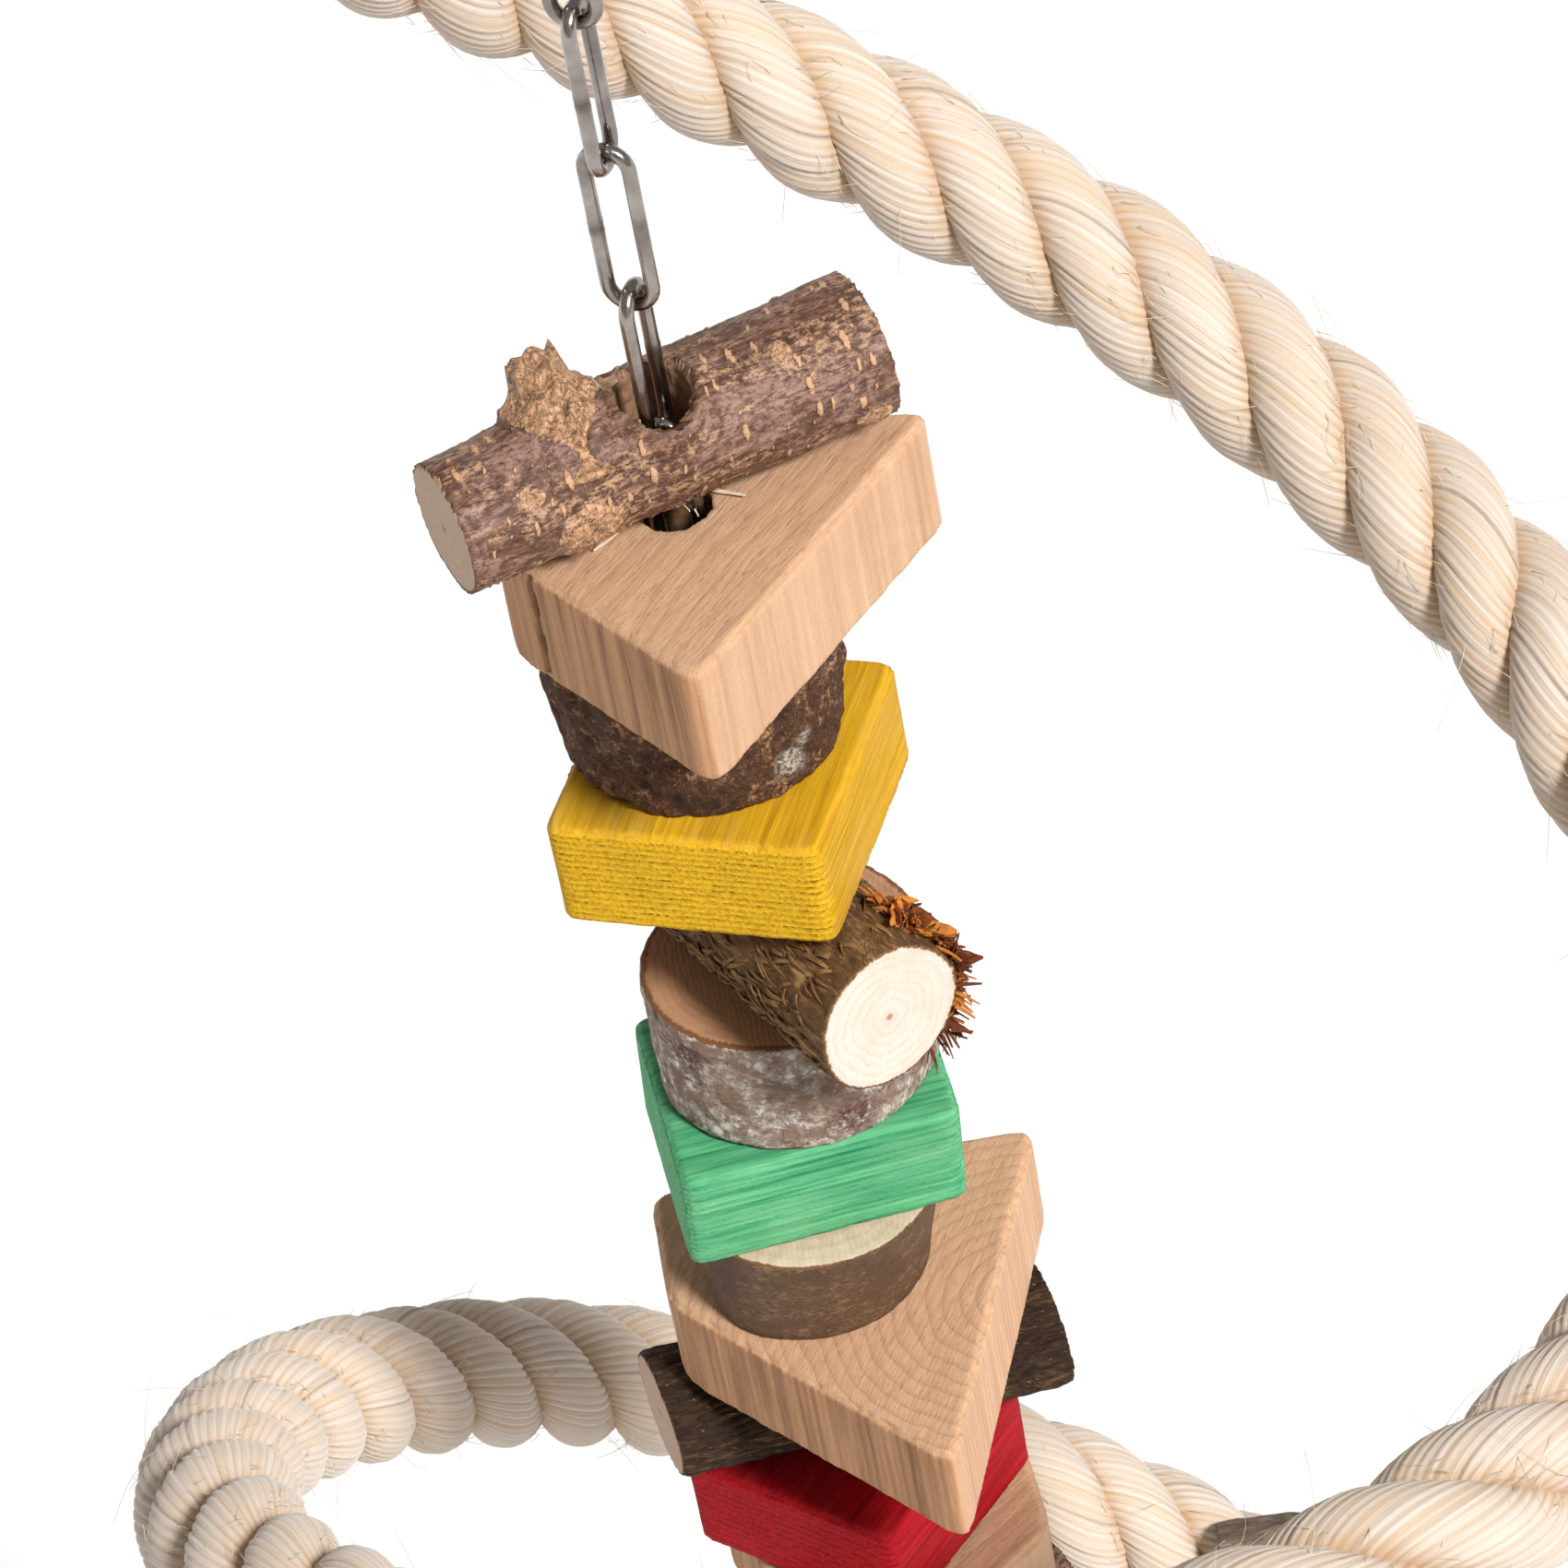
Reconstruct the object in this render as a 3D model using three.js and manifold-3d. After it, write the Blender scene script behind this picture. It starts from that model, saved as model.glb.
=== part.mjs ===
// Bird climbing spiral: a wire-cored rope coil that hangs from a quick link, with a chain
// of drilled wooden pieces hanging down its middle. Millimetres, +Z up.
// The origin is the bearing point inside the top bow of the quick link.
import * as THREE from 'three';
import { mergeVertices } from 'three/addons/utils/BufferGeometryUtils.js';
import Module from 'manifold-3d';

const wasm = await Module();
wasm.setup();

// Clearances
const touchGap = 0.3;
const bolt_clearance = 0.4;
const core_clearance = 0.9;

// Quick link that the toy hangs from
const linkWire = 5;
const linkInsideWidth = 12;
const linkInsideLength = 38;
const gateOpening = 8;
const gateOverlap = 2.5;
const gateFlats = 9;
const gateAboveBow = 4;

// Eye bolt, washers and eye nut that clamp the rope end
const eyeInside = 12;
const eyeWire = 5;
const boltDiameter = 6;
const washerDiameter = 22;
const washerThickness = 1.5;
const nutHubDiameter = 13;
const nutHubHeight = 9;
const nutEyeInside = 11;
const nutEyeWire = 3.2;

// Long-link chain
const chainWire = 2;
const chainPitch = 22;
const chainOutsideWidth = 8;
const chainLinks = 20;
const chainTurn = THREE.MathUtils.degToRad(-25.6);

// Rope coil: a helix whose turns lean over, so the rope is steep at the back and level in front
const ropeDiameter = 24;
const coreDiameter = 4;
const coilRadius = 111;
const coilPitch = 298;
const coilCentreX = 17;
const coilCentreY = 3;
const coilDropToRight = 48.5;
const coilDropToBack = 21.7;
const coilBackLevelUnderChainTop = 201;
const coilTurns = 2;
const coilStepDegrees = 10;
const leadStraight = 14;
const ropeTail = 30;
const capLength = 16;
const capWall = 1.2;

// Drilled wooden pieces on the chain
const boreDiameter = 10;
const boardThickness = 17.2;
const wedge1Thickness = 19;
const yellowSide = 38.6;
const greenWidth = 39.9;
const greenDepth = 35.3;
const greenThickness = 16.7;
const greenLean = 1;
const redWidth = 36.7;
const redDepth = 35.4;
const log1LeftDiameter = 18.9;
const log1RightDiameter = 20.8;
const log1Length = 61;
const knotFromMiddle = 12;
const knotTilt = THREE.MathUtils.degToRad(62);
const knotHeight = 15;
const knotBase = 11.5;
const knotTip = 4.5;
const log2Diameter = 22.9;
const log2Length = 64;
const log3Diameter = 19.6;
const log3Length = 58;
const log3EndSkew = THREE.MathUtils.degToRad(-9);
const log4Diameter = 20;
const log4Length = 62;
const slice1Across = 37.4;
const slice1TopAcross = 41.2;
const slice1Thickness = 21.4;
const slice2Across = 39.4;
const slice2Thickness = 19.4;
const slice3Across = 31.4;
const slice3TopAcross = 35;
const slice3Thickness = 16.2;
const slice4Across = 38;
const slice4Thickness = 20.3;

// Wedges: how far each corner lies from the bore
const wedge1Front = 35.3;
const wedge1Right = 37;
const wedge1Back = 27.7;
const wedge1Left = 24.9;
const wedge2Front = 51;
const wedge2Right = 35.1;
const wedge2Back = 27.5;
const wedge2Left = 24.9;
const wedge3Front = 41.9;
const wedge3Right = 28.4;
const wedge3Back = 27.4;
const wedge3Left = 25.7;

// Ring that carries the pieces
const endRingOutside = 25;
const endRingWire = 3;

// Perch branch that points out of the coil: it sits in a saddle on the rope, with a screw from below
const perchDiameter = 15;
const perchLength = 78;
const perchTurnDegrees = 69;
const perchHeading = THREE.MathUtils.degToRad(-5);
const perchPastScrew = 7;
const perchSeat = 13.5;
const perchScrewBeside = 5.5;
const perchScrewDiameter = 5;
const perchScrewBite = 4;
const perchScrewHead = 3.5;
const perchWasherDiameter = 16;

const FULL_TURN = 2 * Math.PI;
const up = new THREE.Vector3(0, 0, 1);

const steel = { color: 0x8d8f92, roughness: 0.28, metalness: 1.0 };
const darkSteel = { color: 0x6f6e6d, roughness: 0.3, metalness: 1.0 };
const sisal = { color: 0xe6d3ab, roughness: 0.95, metalness: 0.0 };
const wire = { color: 0x77797c, roughness: 0.45, metalness: 1.0 };
const rawWood = { color: 0xd2a676, roughness: 0.75, metalness: 0.0 };
const hazelBark = { color: 0x6d5347, roughness: 0.9, metalness: 0.0 };
const darkBark = { color: 0x4d3d33, roughness: 0.9, metalness: 0.0 };
const birchBark = { color: 0xa89d92, roughness: 0.85, metalness: 0.0 };
const greyBark = { color: 0x7b6c5d, roughness: 0.9, metalness: 0.0 };
const yellowDye = { color: 0xe7bc14, roughness: 0.7, metalness: 0.0 };
const greenDye = { color: 0x2fa46c, roughness: 0.7, metalness: 0.0 };
const redDye = { color: 0xb5182f, roughness: 0.7, metalness: 0.0 };

// Solids

function solidOf(geometry) {
  const bare = geometry.clone();
  bare.deleteAttribute('normal');
  bare.deleteAttribute('uv');
  const joined = mergeVertices(bare, 1e-4);
  const vertProperties = new Float32Array(joined.attributes.position.array);
  const triVerts = new Uint32Array(joined.index.array);
  return new wasm.Manifold(new wasm.Mesh({ numProp: 3, vertProperties, triVerts }));
}

function geometryOf(solid) {
  const mesh = solid.getMesh();
  const geometry = new THREE.BufferGeometry();
  geometry.setAttribute('position', new THREE.BufferAttribute(mesh.vertProperties, 3));
  geometry.setIndex(new THREE.BufferAttribute(mesh.triVerts, 1));
  geometry.computeVertexNormals();
  return geometry;
}

// Frames along a path: each has a point and two directions square to the path
function framesAlong(points, closed) {
  const count = points.length;
  const frames = [];
  let side = null;
  for (let i = 0; i < count; i += 1) {
    const before = points[closed ? (i + count - 1) % count : Math.max(i - 1, 0)];
    const after = points[closed ? (i + 1) % count : Math.min(i + 1, count - 1)];
    const along = after.clone().sub(before).normalize();
    if (side === null) {
      const helper = Math.abs(along.y) < 0.9 ? new THREE.Vector3(0, 1, 0) : up;
      side = helper.clone();
    }
    side = side.clone().addScaledVector(along, -side.dot(along)).normalize();
    frames.push({ point: points[i], side, across: along.clone().cross(side) });
  }
  return frames;
}

// A round bar swept along a path, joined into a loop or closed by flat ends,
// and with a bore down its middle if boreRadius is over zero
function sweptBar(points, radius, sides, closed = false, boreRadius = 0, boreSides = 6) {
  const frames = framesAlong(points, closed);
  const count = frames.length;
  const positions = [];
  const faces = [];
  function addRings(ringRadius, ringSides) {
    const first = positions.length / 3;
    for (const frame of frames) {
      for (let k = 0; k < ringSides; k += 1) {
        const angle = (FULL_TURN * k) / ringSides;
        const corner = frame.point.clone();
        corner.addScaledVector(frame.side, ringRadius * Math.cos(angle));
        corner.addScaledVector(frame.across, ringRadius * Math.sin(angle));
        positions.push(corner.x, corner.y, corner.z);
      }
    }
    return first;
  }
  function addWalls(first, ringSides, inward) {
    const spans = closed ? count : count - 1;
    for (let i = 0; i < spans; i += 1) {
      const here = first + i * ringSides;
      const next = first + ((i + 1) % count) * ringSides;
      for (let k = 0; k < ringSides; k += 1) {
        const m = (k + 1) % ringSides;
        if (inward) {
          faces.push(here + k, next + k, here + m, here + m, next + k, next + m);
        } else {
          faces.push(here + k, here + m, next + k, here + m, next + m, next + k);
        }
      }
    }
  }
  const outer = addRings(radius, sides);
  addWalls(outer, sides, false);
  if (boreRadius > 0) {
    const inner = addRings(boreRadius, boreSides);
    addWalls(inner, boreSides, true);
    const perInner = sides / boreSides;
    for (const [ring, flipped] of [[0, true], [count - 1, false]]) {
      const outerStart = outer + ring * sides;
      const innerStart = inner + ring * boreSides;
      for (let k = 0; k < sides; k += 1) {
        const m = (k + 1) % sides;
        const hub = innerStart + (Math.floor((k + perInner / 2) / perInner) % boreSides);
        const face = [outerStart + k, outerStart + m, hub];
        faces.push(...(flipped ? face.reverse() : face));
      }
      for (let j = 0; j < boreSides; j += 1) {
        const n = (j + 1) % boreSides;
        const rim = outerStart + ((Math.ceil((j + 0.5) * perInner) % sides + sides) % sides);
        const face = [innerStart + j, rim, innerStart + n];
        faces.push(...(flipped ? face.reverse() : face));
      }
    }
  } else if (!closed) {
    for (const [ring, flipped] of [[0, true], [count - 1, false]]) {
      const start = outer + ring * sides;
      for (let k = 1; k < sides - 1; k += 1) {
        const face = [start, start + k, start + k + 1];
        faces.push(...(flipped ? face.reverse() : face));
      }
    }
  }
  const geometry = new THREE.BufferGeometry();
  geometry.setAttribute('position', new THREE.Float32BufferAttribute(positions, 3));
  geometry.setIndex(faces);
  geometry.computeVertexNormals();
  return geometry;
}

// A closed oval of wire in the XZ plane: its inside top is at z = 0
function ovalPath(insideWidth, insideLength, barWire, bowSteps) {
  const bow = (insideWidth + barWire) / 2;
  const topCentre = barWire / 2 - bow;
  const bottomCentre = -insideLength - barWire / 2 + bow;
  const points = [];
  for (let i = 0; i <= bowSteps; i += 1) {
    const angle = (Math.PI * i) / bowSteps;
    points.push(new THREE.Vector3(bow * Math.cos(angle), 0, topCentre + bow * Math.sin(angle)));
  }
  for (let i = 0; i <= bowSteps; i += 1) {
    const angle = Math.PI + (Math.PI * i) / bowSteps;
    points.push(new THREE.Vector3(bow * Math.cos(angle), 0, bottomCentre + bow * Math.sin(angle)));
  }
  return points;
}

function ringPath(meanRadius, centreZ, steps) {
  const points = [];
  for (let i = 0; i < steps; i += 1) {
    const angle = (FULL_TURN * i) / steps;
    const x = meanRadius * Math.cos(angle);
    points.push(new THREE.Vector3(x, 0, centreZ + meanRadius * Math.sin(angle)));
  }
  return points;
}

// A round bar or hole between two points
function bar(from, to, radius, sides, endRadius = radius) {
  const length = from.distanceTo(to);
  const geometry = new THREE.CylinderGeometry(endRadius, radius, length, sides);
  geometry.translate(0, length / 2, 0);
  const turn = new THREE.Quaternion();
  turn.setFromUnitVectors(new THREE.Vector3(0, 1, 0), to.clone().sub(from).normalize());
  geometry.applyQuaternion(turn);
  geometry.translate(from.x, from.y, from.z);
  return geometry;
}

function uprightBar(top, bottom, radius, sides) {
  return bar(new THREE.Vector3(0, 0, bottom), new THREE.Vector3(0, 0, top), radius, sides);
}

const group = new THREE.Group();

function place(name, geometry, look) {
  const mesh = new THREE.Mesh(geometry, new THREE.MeshStandardMaterial(look));
  mesh.name = name;
  group.add(mesh);
  return mesh;
}

// Quick link with a gap in one side that the sleeve nut closes
const linkBow = (linkInsideWidth + linkWire) / 2;
const linkBottomCentre = -linkInsideLength - linkWire / 2 + linkBow;
const gapBottom = linkBottomCentre + gateAboveBow;
const gapTop = gapBottom + gateOpening;
const quickLinkPath = ovalPath(linkInsideWidth, linkInsideLength, linkWire, 10);
quickLinkPath.unshift(new THREE.Vector3(linkBow, 0, gapTop));
quickLinkPath.push(new THREE.Vector3(linkBow, 0, gapBottom));
place('quick_link', sweptBar(quickLinkPath, linkWire / 2, 12), steel);

const gateBottom = gapBottom - gateOverlap;
const gateTop = gapTop + gateOverlap;
const sleeve = solidOf(uprightBar(gateTop, gateBottom, gateFlats / Math.sqrt(3), 6));
const sleeveBore = uprightBar(gateTop + 1, gateBottom - 1, linkWire / 2 + bolt_clearance, 12);
const gateNut = place('gate_nut', geometryOf(sleeve.subtract(solidOf(sleeveBore))), steel);
gateNut.position.x = linkBow;

// Eye bolt down through the rope end
const eyeTop = -linkInsideLength + touchGap;
const eyeMean = (eyeInside + eyeWire) / 2;
const eyeCentre = eyeTop - eyeInside / 2;
const eyeBottom = eyeCentre - eyeInside / 2 - eyeWire;
const upperWasherTop = eyeBottom - touchGap;
const ropeTop = upperWasherTop - washerThickness - touchGap;
const ropeEndLevel = ropeTop - ropeDiameter / 2;
const lowerWasherTop = ropeEndLevel - ropeDiameter / 2 - touchGap;
const nutTop = lowerWasherTop - washerThickness - touchGap;
const boltBottom = nutTop - nutHubHeight + 2;
const eyeRing = solidOf(sweptBar(ringPath(eyeMean, eyeCentre, 20), eyeWire / 2, 10, true));
const shank = solidOf(uprightBar(eyeBottom + eyeWire / 2, boltBottom, boltDiameter / 2, 12));
const eyeBolt = place('eye_bolt', geometryOf(eyeRing.add(shank)), steel);
eyeBolt.rotation.z = Math.PI / 2;

function washer(name, top, outside, inside) {
  const shape = new THREE.Shape();
  shape.absarc(0, 0, outside / 2, 0, FULL_TURN);
  const hole = new THREE.Path();
  hole.absarc(0, 0, inside / 2, 0, FULL_TURN, true);
  shape.holes.push(hole);
  const settings = { depth: washerThickness, bevelEnabled: false, curveSegments: 20 };
  const mesh = place(name, new THREE.ExtrudeGeometry(shape, settings), steel);
  mesh.position.z = top - washerThickness;
  return mesh;
}
const boltHole = boltDiameter + 2 * bolt_clearance;
washer('washer_upper', upperWasherTop, washerDiameter, boltHole);
washer('washer_lower', lowerWasherTop, washerDiameter, boltHole);

const nutEyeMean = (nutEyeInside + nutEyeWire) / 2;
const nutEyeCentre = nutTop - nutHubHeight + nutEyeWire / 2 - nutEyeMean;
const nutEyeBottom = nutEyeCentre - nutEyeInside / 2;
const nutHub = solidOf(uprightBar(nutTop, nutTop - nutHubHeight, nutHubDiameter / 2, 16));
const nutEye = solidOf(sweptBar(ringPath(nutEyeMean, nutEyeCentre, 20), nutEyeWire / 2, 10, true));
const nutHole = solidOf(uprightBar(nutTop + 1, boltBottom - touchGap, boltHole / 2, 12));
const eyeNut = place('eye_nut', geometryOf(nutHub.add(nutEye).subtract(nutHole)), steel);
eyeNut.rotation.z = chainTurn + Math.PI / 2;

// Chain: each link hangs in the one above it, turned a quarter
const chainTop = nutEyeBottom + touchGap;
const chainInsideWidth = chainOutsideWidth - 2 * chainWire;
const chainInsideLength = chainPitch + touchGap;
const chainLinkPath = ovalPath(chainInsideWidth, chainInsideLength, chainWire, 5);

// Wooden pieces, from the top down
// A corner of a wedge, by its distance from the bore and its bearing
function corner(reach, bearingDegrees) {
  const bearing = THREE.MathUtils.degToRad(bearingDegrees);
  return [reach * Math.cos(bearing), reach * Math.sin(bearing)];
}
const outline1 = [
  corner(wedge1Front, -93.3), corner(wedge1Right, 14.4), corner(wedge1Back, 132.5), corner(wedge1Left, 181.6),
];
const outline2 = [
  corner(wedge2Front, -77.3), corner(wedge2Right, 20.1), corner(wedge2Back, 148.3), corner(wedge2Left, 199.1),
];
const outline3 = [
  corner(wedge3Front, -103.8), corner(wedge3Right, -32.1), corner(wedge3Back, 36.5), corner(wedge3Left, 158.8),
];
const stack = [
  { name: 'log_1', kind: 'log', size: log1RightDiameter, leftDiameter: log1LeftDiameter, length: log1Length,
    yaw: 18.6, offset: [-0.6, 1.9], look: hazelBark, seed: 1, knot: true },
  { name: 'wedge_1', kind: 'board', outline: outline1, size: wedge1Thickness, look: rawWood },
  { name: 'slice_1', kind: 'slice', across: slice1Across, topAcross: slice1TopAcross, size: slice1Thickness,
    offset: [-1.6, 3.4], look: darkBark, seed: 2 },
  { name: 'block_yellow', kind: 'block', width: yellowSide, depth: yellowSide, yaw: -24.2, offset: [-0.4, -0.6],
    size: boardThickness, look: yellowDye },
  { name: 'log_2', kind: 'log', size: log2Diameter, length: log2Length, yaw: -63.3, look: darkBark, seed: 3 },
  { name: 'slice_2', kind: 'slice', across: slice2Across, size: slice2Thickness, offset: [2.1, 1.2],
    look: birchBark, seed: 4 },
  { name: 'block_green', kind: 'block', width: greenWidth, depth: greenDepth, lean: greenLean, yaw: 4.2,
    offset: [0.3, -0.9], size: greenThickness, look: greenDye },
  { name: 'slice_3', kind: 'slice', across: slice3Across, topAcross: slice3TopAcross, lean: 2,
    size: slice3Thickness, offset: [-0.8, -6.6], look: greyBark, seed: 5 },
  { name: 'wedge_2', kind: 'board', outline: outline2, size: boardThickness, look: rawWood },
  { name: 'log_3', kind: 'log', size: log3Diameter, length: log3Length, yaw: 2.6, endSkew: log3EndSkew,
    offset: [0.7, -1.8], look: darkBark, seed: 6 },
  { name: 'block_red', kind: 'block', width: redWidth, depth: redDepth, yaw: -41.2, offset: [-1.5, -2.1],
    size: boardThickness, look: redDye },
  { name: 'wedge_3', kind: 'board', outline: outline3, size: boardThickness, look: rawWood },
  { name: 'slice_4', kind: 'slice', across: slice4Across, size: slice4Thickness, offset: [0, 0],
    look: greyBark, seed: 7 },
  { name: 'log_4', kind: 'log', size: log4Diameter, length: log4Length, yaw: 48, look: hazelBark, seed: 8 },
];

// Chain links, and the ring in the last one that is too wide for the bores and carries the pieces
for (let i = 0; i < chainLinks; i += 1) {
  const name = `chain_link_${String(i + 1).padStart(2, '0')}`;
  const link = place(name, sweptBar(chainLinkPath, chainWire / 2, 8, true), darkSteel);
  link.position.z = chainTop - i * chainPitch;
  link.rotation.z = chainTurn + (i % 2) * (Math.PI / 2);
}
const chainBottom = chainTop - (chainLinks - 1) * chainPitch - chainInsideLength;
const endRingTop = chainBottom + touchGap + endRingWire;
const endRingMean = (endRingOutside - endRingWire) / 2;
const endRingCentre = endRingTop - endRingOutside / 2;
const endRingPath = ringPath(endRingMean, endRingCentre, 24);
const endRing = place('end_ring', sweptBar(endRingPath, endRingWire / 2, 8, true), steel);
endRing.rotation.z = chainTurn + (chainLinks % 2) * (Math.PI / 2);

// The pieces rest on one another from the ring up, and the chain above them stays bare
let level = endRingTop + touchGap;
for (const piece of stack.slice().reverse()) {
  piece.bottom = level;
  piece.top = level + piece.size;
  level = piece.top + touchGap;
}

// A smooth, repeatable wobble for natural wood: a sum of a few waves
function wobble(seed, angle, along) {
  const low = Math.sin(2 * angle + 1.7 * seed) * 0.5 + Math.sin(3 * angle + 2.9 * seed + along) * 0.3;
  return low + Math.sin(5 * angle - seed + 1.9 * along) * 0.2;
}

function boreThrough(piece) {
  const radius = boreDiameter / 2;
  return solidOf(uprightBar(piece.top + piece.size, piece.bottom - 3, radius, 16));
}

// A barked branch lying along X: it may taper towards its left end with its underside kept level,
// and its ends may be sawn askew
function branch(diameter, length, seed, leftDiameter = diameter, endSkew = 0) {
  const sides = 18;
  const steps = 8;
  const rough = 0.035;
  const positions = [];
  const faces = [];
  for (let i = 0; i <= steps; i += 1) {
    const x = length * (i / steps - 0.5);
    const thickness = THREE.MathUtils.lerp(leftDiameter, diameter, i / steps);
    const drop = (diameter - thickness) / 2;
    for (let k = 0; k < sides; k += 1) {
      const angle = (FULL_TURN * k) / sides;
      const swell = 1 - rough + rough * wobble(seed, angle, i * 0.7);
      const radius = (thickness / 2) * swell;
      const y = radius * Math.cos(angle);
      positions.push(x + y * Math.tan(endSkew), y, radius * Math.sin(angle) - drop);
    }
  }
  for (let i = 0; i < steps; i += 1) {
    for (let k = 0; k < sides; k += 1) {
      const m = (k + 1) % sides;
      const here = i * sides;
      const next = here + sides;
      faces.push(here + k, here + m, next + k, here + m, next + m, next + k);
    }
  }
  for (let k = 1; k < sides - 1; k += 1) {
    const last = steps * sides;
    faces.push(0, k + 1, k, last, last + k, last + k + 1);
  }
  const geometry = new THREE.BufferGeometry();
  geometry.setAttribute('position', new THREE.Float32BufferAttribute(positions, 3));
  geometry.setIndex(faces);
  return geometry;
}

function makeLog(piece) {
  const [shiftX, shiftY] = piece.offset ?? [0, 0];
  const geometry = branch(piece.size, piece.length, piece.seed, piece.leftDiameter, piece.endSkew);
  let solid = solidOf(geometry);
  if (piece.knot) {
    const reach = new THREE.Vector3(0, Math.cos(knotTilt), Math.sin(knotTilt)).multiplyScalar(knotHeight);
    const root = new THREE.Vector3(-knotFromMiddle, 0, 0);
    const tip = root.clone().add(reach);
    solid = solid.add(solidOf(bar(root, tip, knotBase, 12, knotTip)));
  }
  const turned = geometryOf(solid);
  turned.rotateZ(THREE.MathUtils.degToRad(piece.yaw));
  turned.translate(shiftX, shiftY, (piece.top + piece.bottom) / 2);
  return geometryOf(solidOf(turned).subtract(boreThrough(piece)));
}

// An outline with rounded corners
function roundedShape(corners, rounding) {
  const shape = new THREE.Shape();
  const count = corners.length;
  for (let i = 0; i < count; i += 1) {
    const corner = new THREE.Vector2(...corners[i]);
    const before = new THREE.Vector2(...corners[(i + count - 1) % count]);
    const after = new THREE.Vector2(...corners[(i + 1) % count]);
    const start = corner.clone().add(before.sub(corner).setLength(rounding));
    const end = corner.clone().add(after.sub(corner).setLength(rounding));
    if (i === 0) {
      shape.moveTo(start.x, start.y);
    } else {
      shape.lineTo(start.x, start.y);
    }
    shape.quadraticCurveTo(corner.x, corner.y, end.x, end.y);
  }
  shape.closePath();
  return shape;
}

// A flat piece of wood with eased edges and the bore through it. It may widen from its foot to its top by
// the ratio flare, and its top may lean to the right
function flatPiece(shape, piece, edge, flare = 1) {
  const settings = {
    depth: piece.size - 2 * edge,
    bevelEnabled: true,
    bevelThickness: edge,
    bevelSize: edge,
    bevelOffset: -edge,
    bevelSegments: 1,
    curveSegments: 3,
  };
  const geometry = new THREE.ExtrudeGeometry(shape, settings);
  geometry.translate(0, 0, piece.bottom + edge);
  const [middleX, middleY] = piece.offset ?? [0, 0];
  const corners = geometry.attributes.position;
  for (let i = 0; i < corners.count; i += 1) {
    const share = (corners.getZ(i) - piece.bottom) / piece.size;
    const widen = THREE.MathUtils.lerp(1, flare, share);
    const lean = (piece.lean ?? 0) * (share - 0.5);
    corners.setX(i, middleX + (corners.getX(i) - middleX) * widen + lean);
    corners.setY(i, middleY + (corners.getY(i) - middleY) * widen);
  }
  return geometryOf(solidOf(geometry).subtract(boreThrough(piece)));
}

function blockCorners(width, depth, yawDegrees, [shiftX, shiftY]) {
  const halfX = width / 2;
  const halfY = depth / 2;
  const yaw = THREE.MathUtils.degToRad(yawDegrees);
  const corners = [[-halfX, -halfY], [halfX, -halfY], [halfX, halfY], [-halfX, halfY]];
  return corners.map(([x, y]) => [
    shiftX + x * Math.cos(yaw) - y * Math.sin(yaw),
    shiftY + x * Math.sin(yaw) + y * Math.cos(yaw),
  ]);
}

function sliceShape(across, [shiftX, shiftY], seed) {
  const shape = new THREE.Shape();
  const sides = 26;
  const rough = 0.03;
  for (let k = 0; k < sides; k += 1) {
    const angle = (FULL_TURN * k) / sides;
    const radius = (across / 2) * (1 + rough * wobble(seed, angle, 0));
    const x = shiftX + radius * Math.cos(angle);
    const y = shiftY + radius * Math.sin(angle);
    if (k === 0) {
      shape.moveTo(x, y);
    } else {
      shape.lineTo(x, y);
    }
  }
  shape.closePath();
  return shape;
}

const boardRounding = 4;
const blockRounding = 2.5;
const boardEdge = 0.9;
const sliceEdge = 0.5;
for (const piece of stack) {
  if (piece.kind === 'log') {
    place(piece.name, makeLog(piece), piece.look);
  } else if (piece.kind === 'board') {
    place(piece.name, flatPiece(roundedShape(piece.outline, boardRounding), piece, boardEdge), piece.look);
  } else if (piece.kind === 'block') {
    const corners = blockCorners(piece.width, piece.depth, piece.yaw, piece.offset);
    place(piece.name, flatPiece(roundedShape(corners, blockRounding), piece, boardEdge), piece.look);
  } else {
    const shape = sliceShape(piece.across, piece.offset, piece.seed);
    const flare = (piece.topAcross ?? piece.across) / piece.across;
    place(piece.name, flatPiece(shape, piece, sliceEdge, flare), piece.look);
  }
}

// Rope path, from the end over the bolt, through the lead that sweeps in to the axis, down the coil
const coilBackLevel = chainTop - coilBackLevelUnderChainTop;

function coilPoint(degrees) {
  const angle = THREE.MathUtils.degToRad(degrees);
  const climb = (coilPitch * (degrees - 90)) / 360;
  const lean = -coilDropToRight * Math.cos(angle) - coilDropToBack * (Math.sin(angle) - 1);
  const x = coilCentreX + coilRadius * Math.cos(angle);
  const y = coilCentreY + coilRadius * Math.sin(angle);
  return new THREE.Vector3(x, y, coilBackLevel + climb + lean);
}

const coilTopDegrees = 180;
const coilStart = coilPoint(coilTopDegrees);
const leadRadius = -coilStart.x / 2;
const leadIn = coilStart.y + leadStraight;
const leadArc = Math.PI * leadRadius;
const leadLength = leadIn + leadArc;
const startSlope = (coilPitch / FULL_TURN - coilDropToBack * Math.cos(Math.PI)) / coilRadius;
const leadRise = ropeEndLevel - coilStart.z;

// Height along the lead: it leaves the coil at the coil's slope and ends level
function leadHeight(run) {
  const u = run / leadLength;
  const climb = leadRise * u * u * (3 - 2 * u);
  return coilStart.z + climb + startSlope * leadLength * u * (1 - u) * (1 - u);
}

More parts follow.
